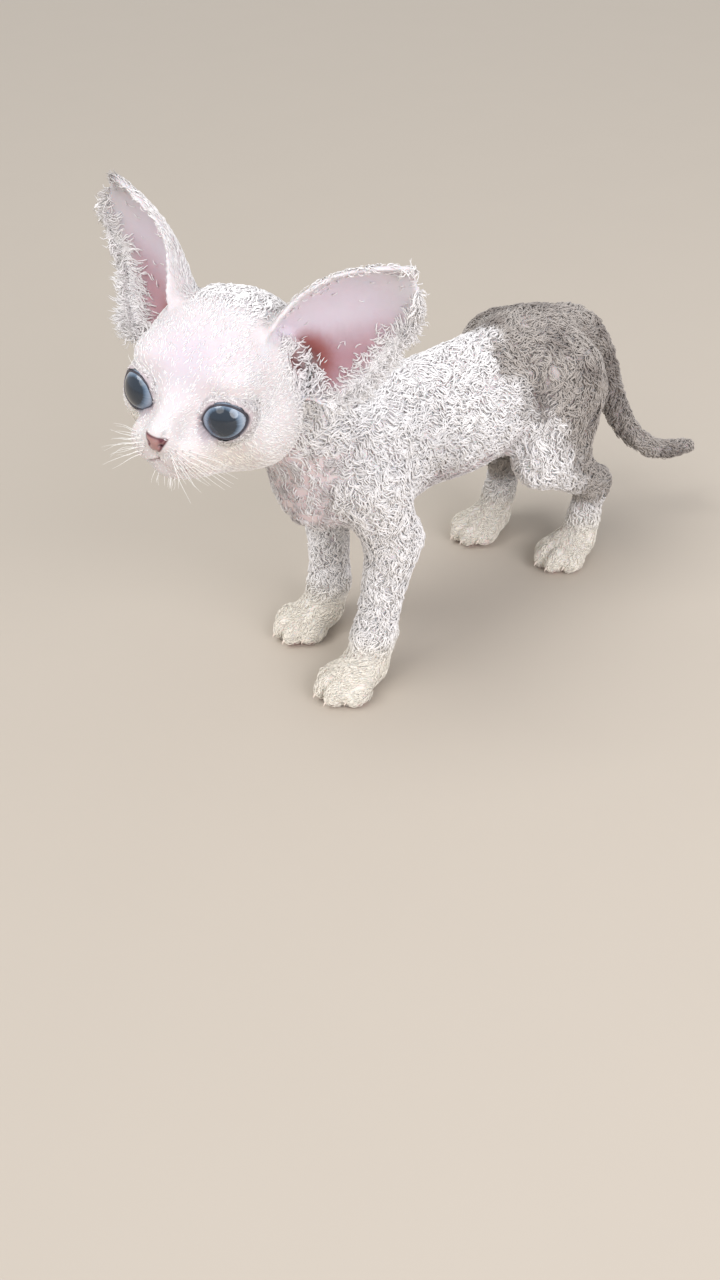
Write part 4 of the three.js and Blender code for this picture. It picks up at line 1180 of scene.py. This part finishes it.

# Curly down: fine dry hair that scatters light softly, with a faint sheen. Tufts are a little
# lighter towards the tip, as painted shade at the root and painted light at the tip; they differ
# from each other by a few per cent, and are grey-brown on the breast.
# Single hairs are too fine to show, so the grain is drawn at about 1 mm.
BREAST_STREAK = linear("#a79a98")
DOWN_PER_METRE = 900
streak = np.clip(at_roots(thin) * (0.5 + 0.9 * wander(roots, 9, 23)), 0, 1)
root_colour = mixed(coat_colour(roots), BREAST_STREAK, 0.55 * streak)
root_colour *= random.uniform(0.93, 1.05, TUFTS)[:, None]
# Painted shade and light along each tuft: darker at the root, lighter at the tip.
tuft_shade_along = np.array([*np.repeat([0.96, 0.98, 1.0, 1.03], 3), 1.05])
coat_material, tree = new_material("soft_curly_down")
tint = node(tree, "Attribute", attribute_name="Tint")
shade = mottled(tree, tint, DOWN_PER_METRE, 2.0, 0.97, 1.03)
links = [("Base Color", shade, "Vector")]
finish = {"Roughness": 0.7, "Sheen_Weight": 0.35, "Sheen_Roughness": 0.4, "Specular_IOR_Level": 0.25}
surface = node(tree, "BsdfPrincipled", links, **finish)
node(tree, "OutputMaterial", [("Surface", surface, "BSDF")])

# Each tuft's bake map is a tiny patch of the skin's own, round its root
PATCH_RADIUS = 0.0015
count = strand.shape[1]
patch = PATCH_RADIUS * np.array([(math.cos(t), math.sin(t)) for t in np.linspace(0, 6.0, count)])
order = np.argsort(part_shares(roots).argmax(1), kind="stable")
for number, start in enumerate(range(0, TUFTS, TUFTS_IN_PIECE)):
    group = order[start : start + TUFTS_IN_PIECE]
    verts = to_metres(strand[group].reshape(-1, 3))
    tris = (np.array(faces)[None] + np.arange(len(group))[:, None, None] * count).reshape(-1, 3)
    # Each tuft's tints carry the painted shade at its root and painted light at its tip.
    tints = np.clip(root_colour[group][:, None, :] * tuft_shade_along[None, :, None], 0, 1).reshape(-1, 3)
    uvs = np.clip(root_uv[group][:, None, :] + patch[None], 0.001, 0.999).reshape(-1, 2)
    mesh = bpy.data.meshes.new(f"coat_{number + 1}")
    mesh.from_pydata(verts.tolist(), [], tris.tolist())
    mesh.validate()
    mesh.uv_layers.new(name="OFBake").data.foreach_set("uv", uvs[tris.ravel()].astype(np.float32).ravel())
    store(mesh, "Tint", tints, "FLOAT_COLOR")
    mesh.shade_smooth()
    mesh.materials.append(coat_material)
    coat_piece = add_object(mesh.name, mesh)
    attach(coat_piece, "root")
    grey_piece = grey_share(roots[group]).mean() > 0.5

# The floor and light: a pale seamless sweep, a broad soft key from the upper left, gentle fill
sweep = bmesh.new()
bmesh.ops.create_grid(sweep, x_segments=1, y_segments=1, size=20)
floor_mesh = mesh_from(sweep, "floor")
floor_mesh.materials.append(plain_material("pale_studio_floor", "#bdb3a6", 0.85, 0.01, 60))
add_object("floor", floor_mesh)
LIT_PLACE = (0, 0, 0.09)


def area_light(name, place, size, power, colour):
    light = bpy.data.lights.new(name, "AREA")
    light.shape = "DISK"
    light.size = size
    light.energy = power
    light.color = linear(colour)
    lamp = add_object(name, light)
    lamp.location = place
    lamp.rotation_euler = (Vector(LIT_PLACE) - Vector(place)).to_track_quat("-Z", "Y").to_euler()


area_light("key", (0.25, -1.0, 1.0), 0.8, 2.7, "#fffaf4")
area_light("fill", (1.2, -0.1, 0.7), 1.0, 11, "#fbfaff")
sun = bpy.data.lights.new("sky_glow", "SUN")
sun.energy = 1.4
sun.angle = math.radians(35)
add_object("sky_glow", sun).rotation_euler = (math.radians(28), math.radians(-14), 0)
world = bpy.data.worlds.new("studio")
world.use_nodes = True
sky = world.node_tree.nodes["Background"].inputs
sky["Color"].default_value = (*linear("#eef0f4"), 1)
sky["Strength"].default_value = 0.72
bpy.context.scene.world = world
bpy.context.scene.view_settings.view_transform = "Standard"

# The camera looks down on the kitten from its left front, with the photograph's framing
PHOTO_WIDTH, PHOTO_HEIGHT = 720, 1280
KITTEN_PIXEL = (438, 395)
AZIMUTH, ELEVATION, DISTANCE = 45, 27, 0.45
LENS, SENSOR = 32, 36
camera_data = bpy.data.cameras.new("camera")
camera_data.lens = LENS
camera_data.sensor_width = SENSOR
camera_data.clip_start = 0.01
camera = add_object("camera", camera_data)
bpy.context.scene.camera = camera
low, high_corner = cad_box
aim = (Vector(low) + Vector(high_corner)) / 2
azimuth, elevation = math.radians(AZIMUTH), math.radians(ELEVATION)
across, ahead = math.sin(azimuth) * math.cos(elevation), math.cos(azimuth) * math.cos(elevation)
back = Vector((across, -ahead, math.sin(elevation)))
camera.location = aim + back * DISTANCE
focal_pixels = LENS / SENSOR * PHOTO_HEIGHT
sideways = math.atan((KITTEN_PIXEL[0] - PHOTO_WIDTH / 2) / focal_pixels)
upward = math.atan((PHOTO_HEIGHT / 2 - KITTEN_PIXEL[1]) / focal_pixels)
facing = (-back).to_track_quat("-Z", "Y").to_matrix()
facing = facing @ Matrix.Rotation(sideways, 3, "Y") @ Matrix.Rotation(-upward, 3, "X")
camera.rotation_euler = facing.to_euler()
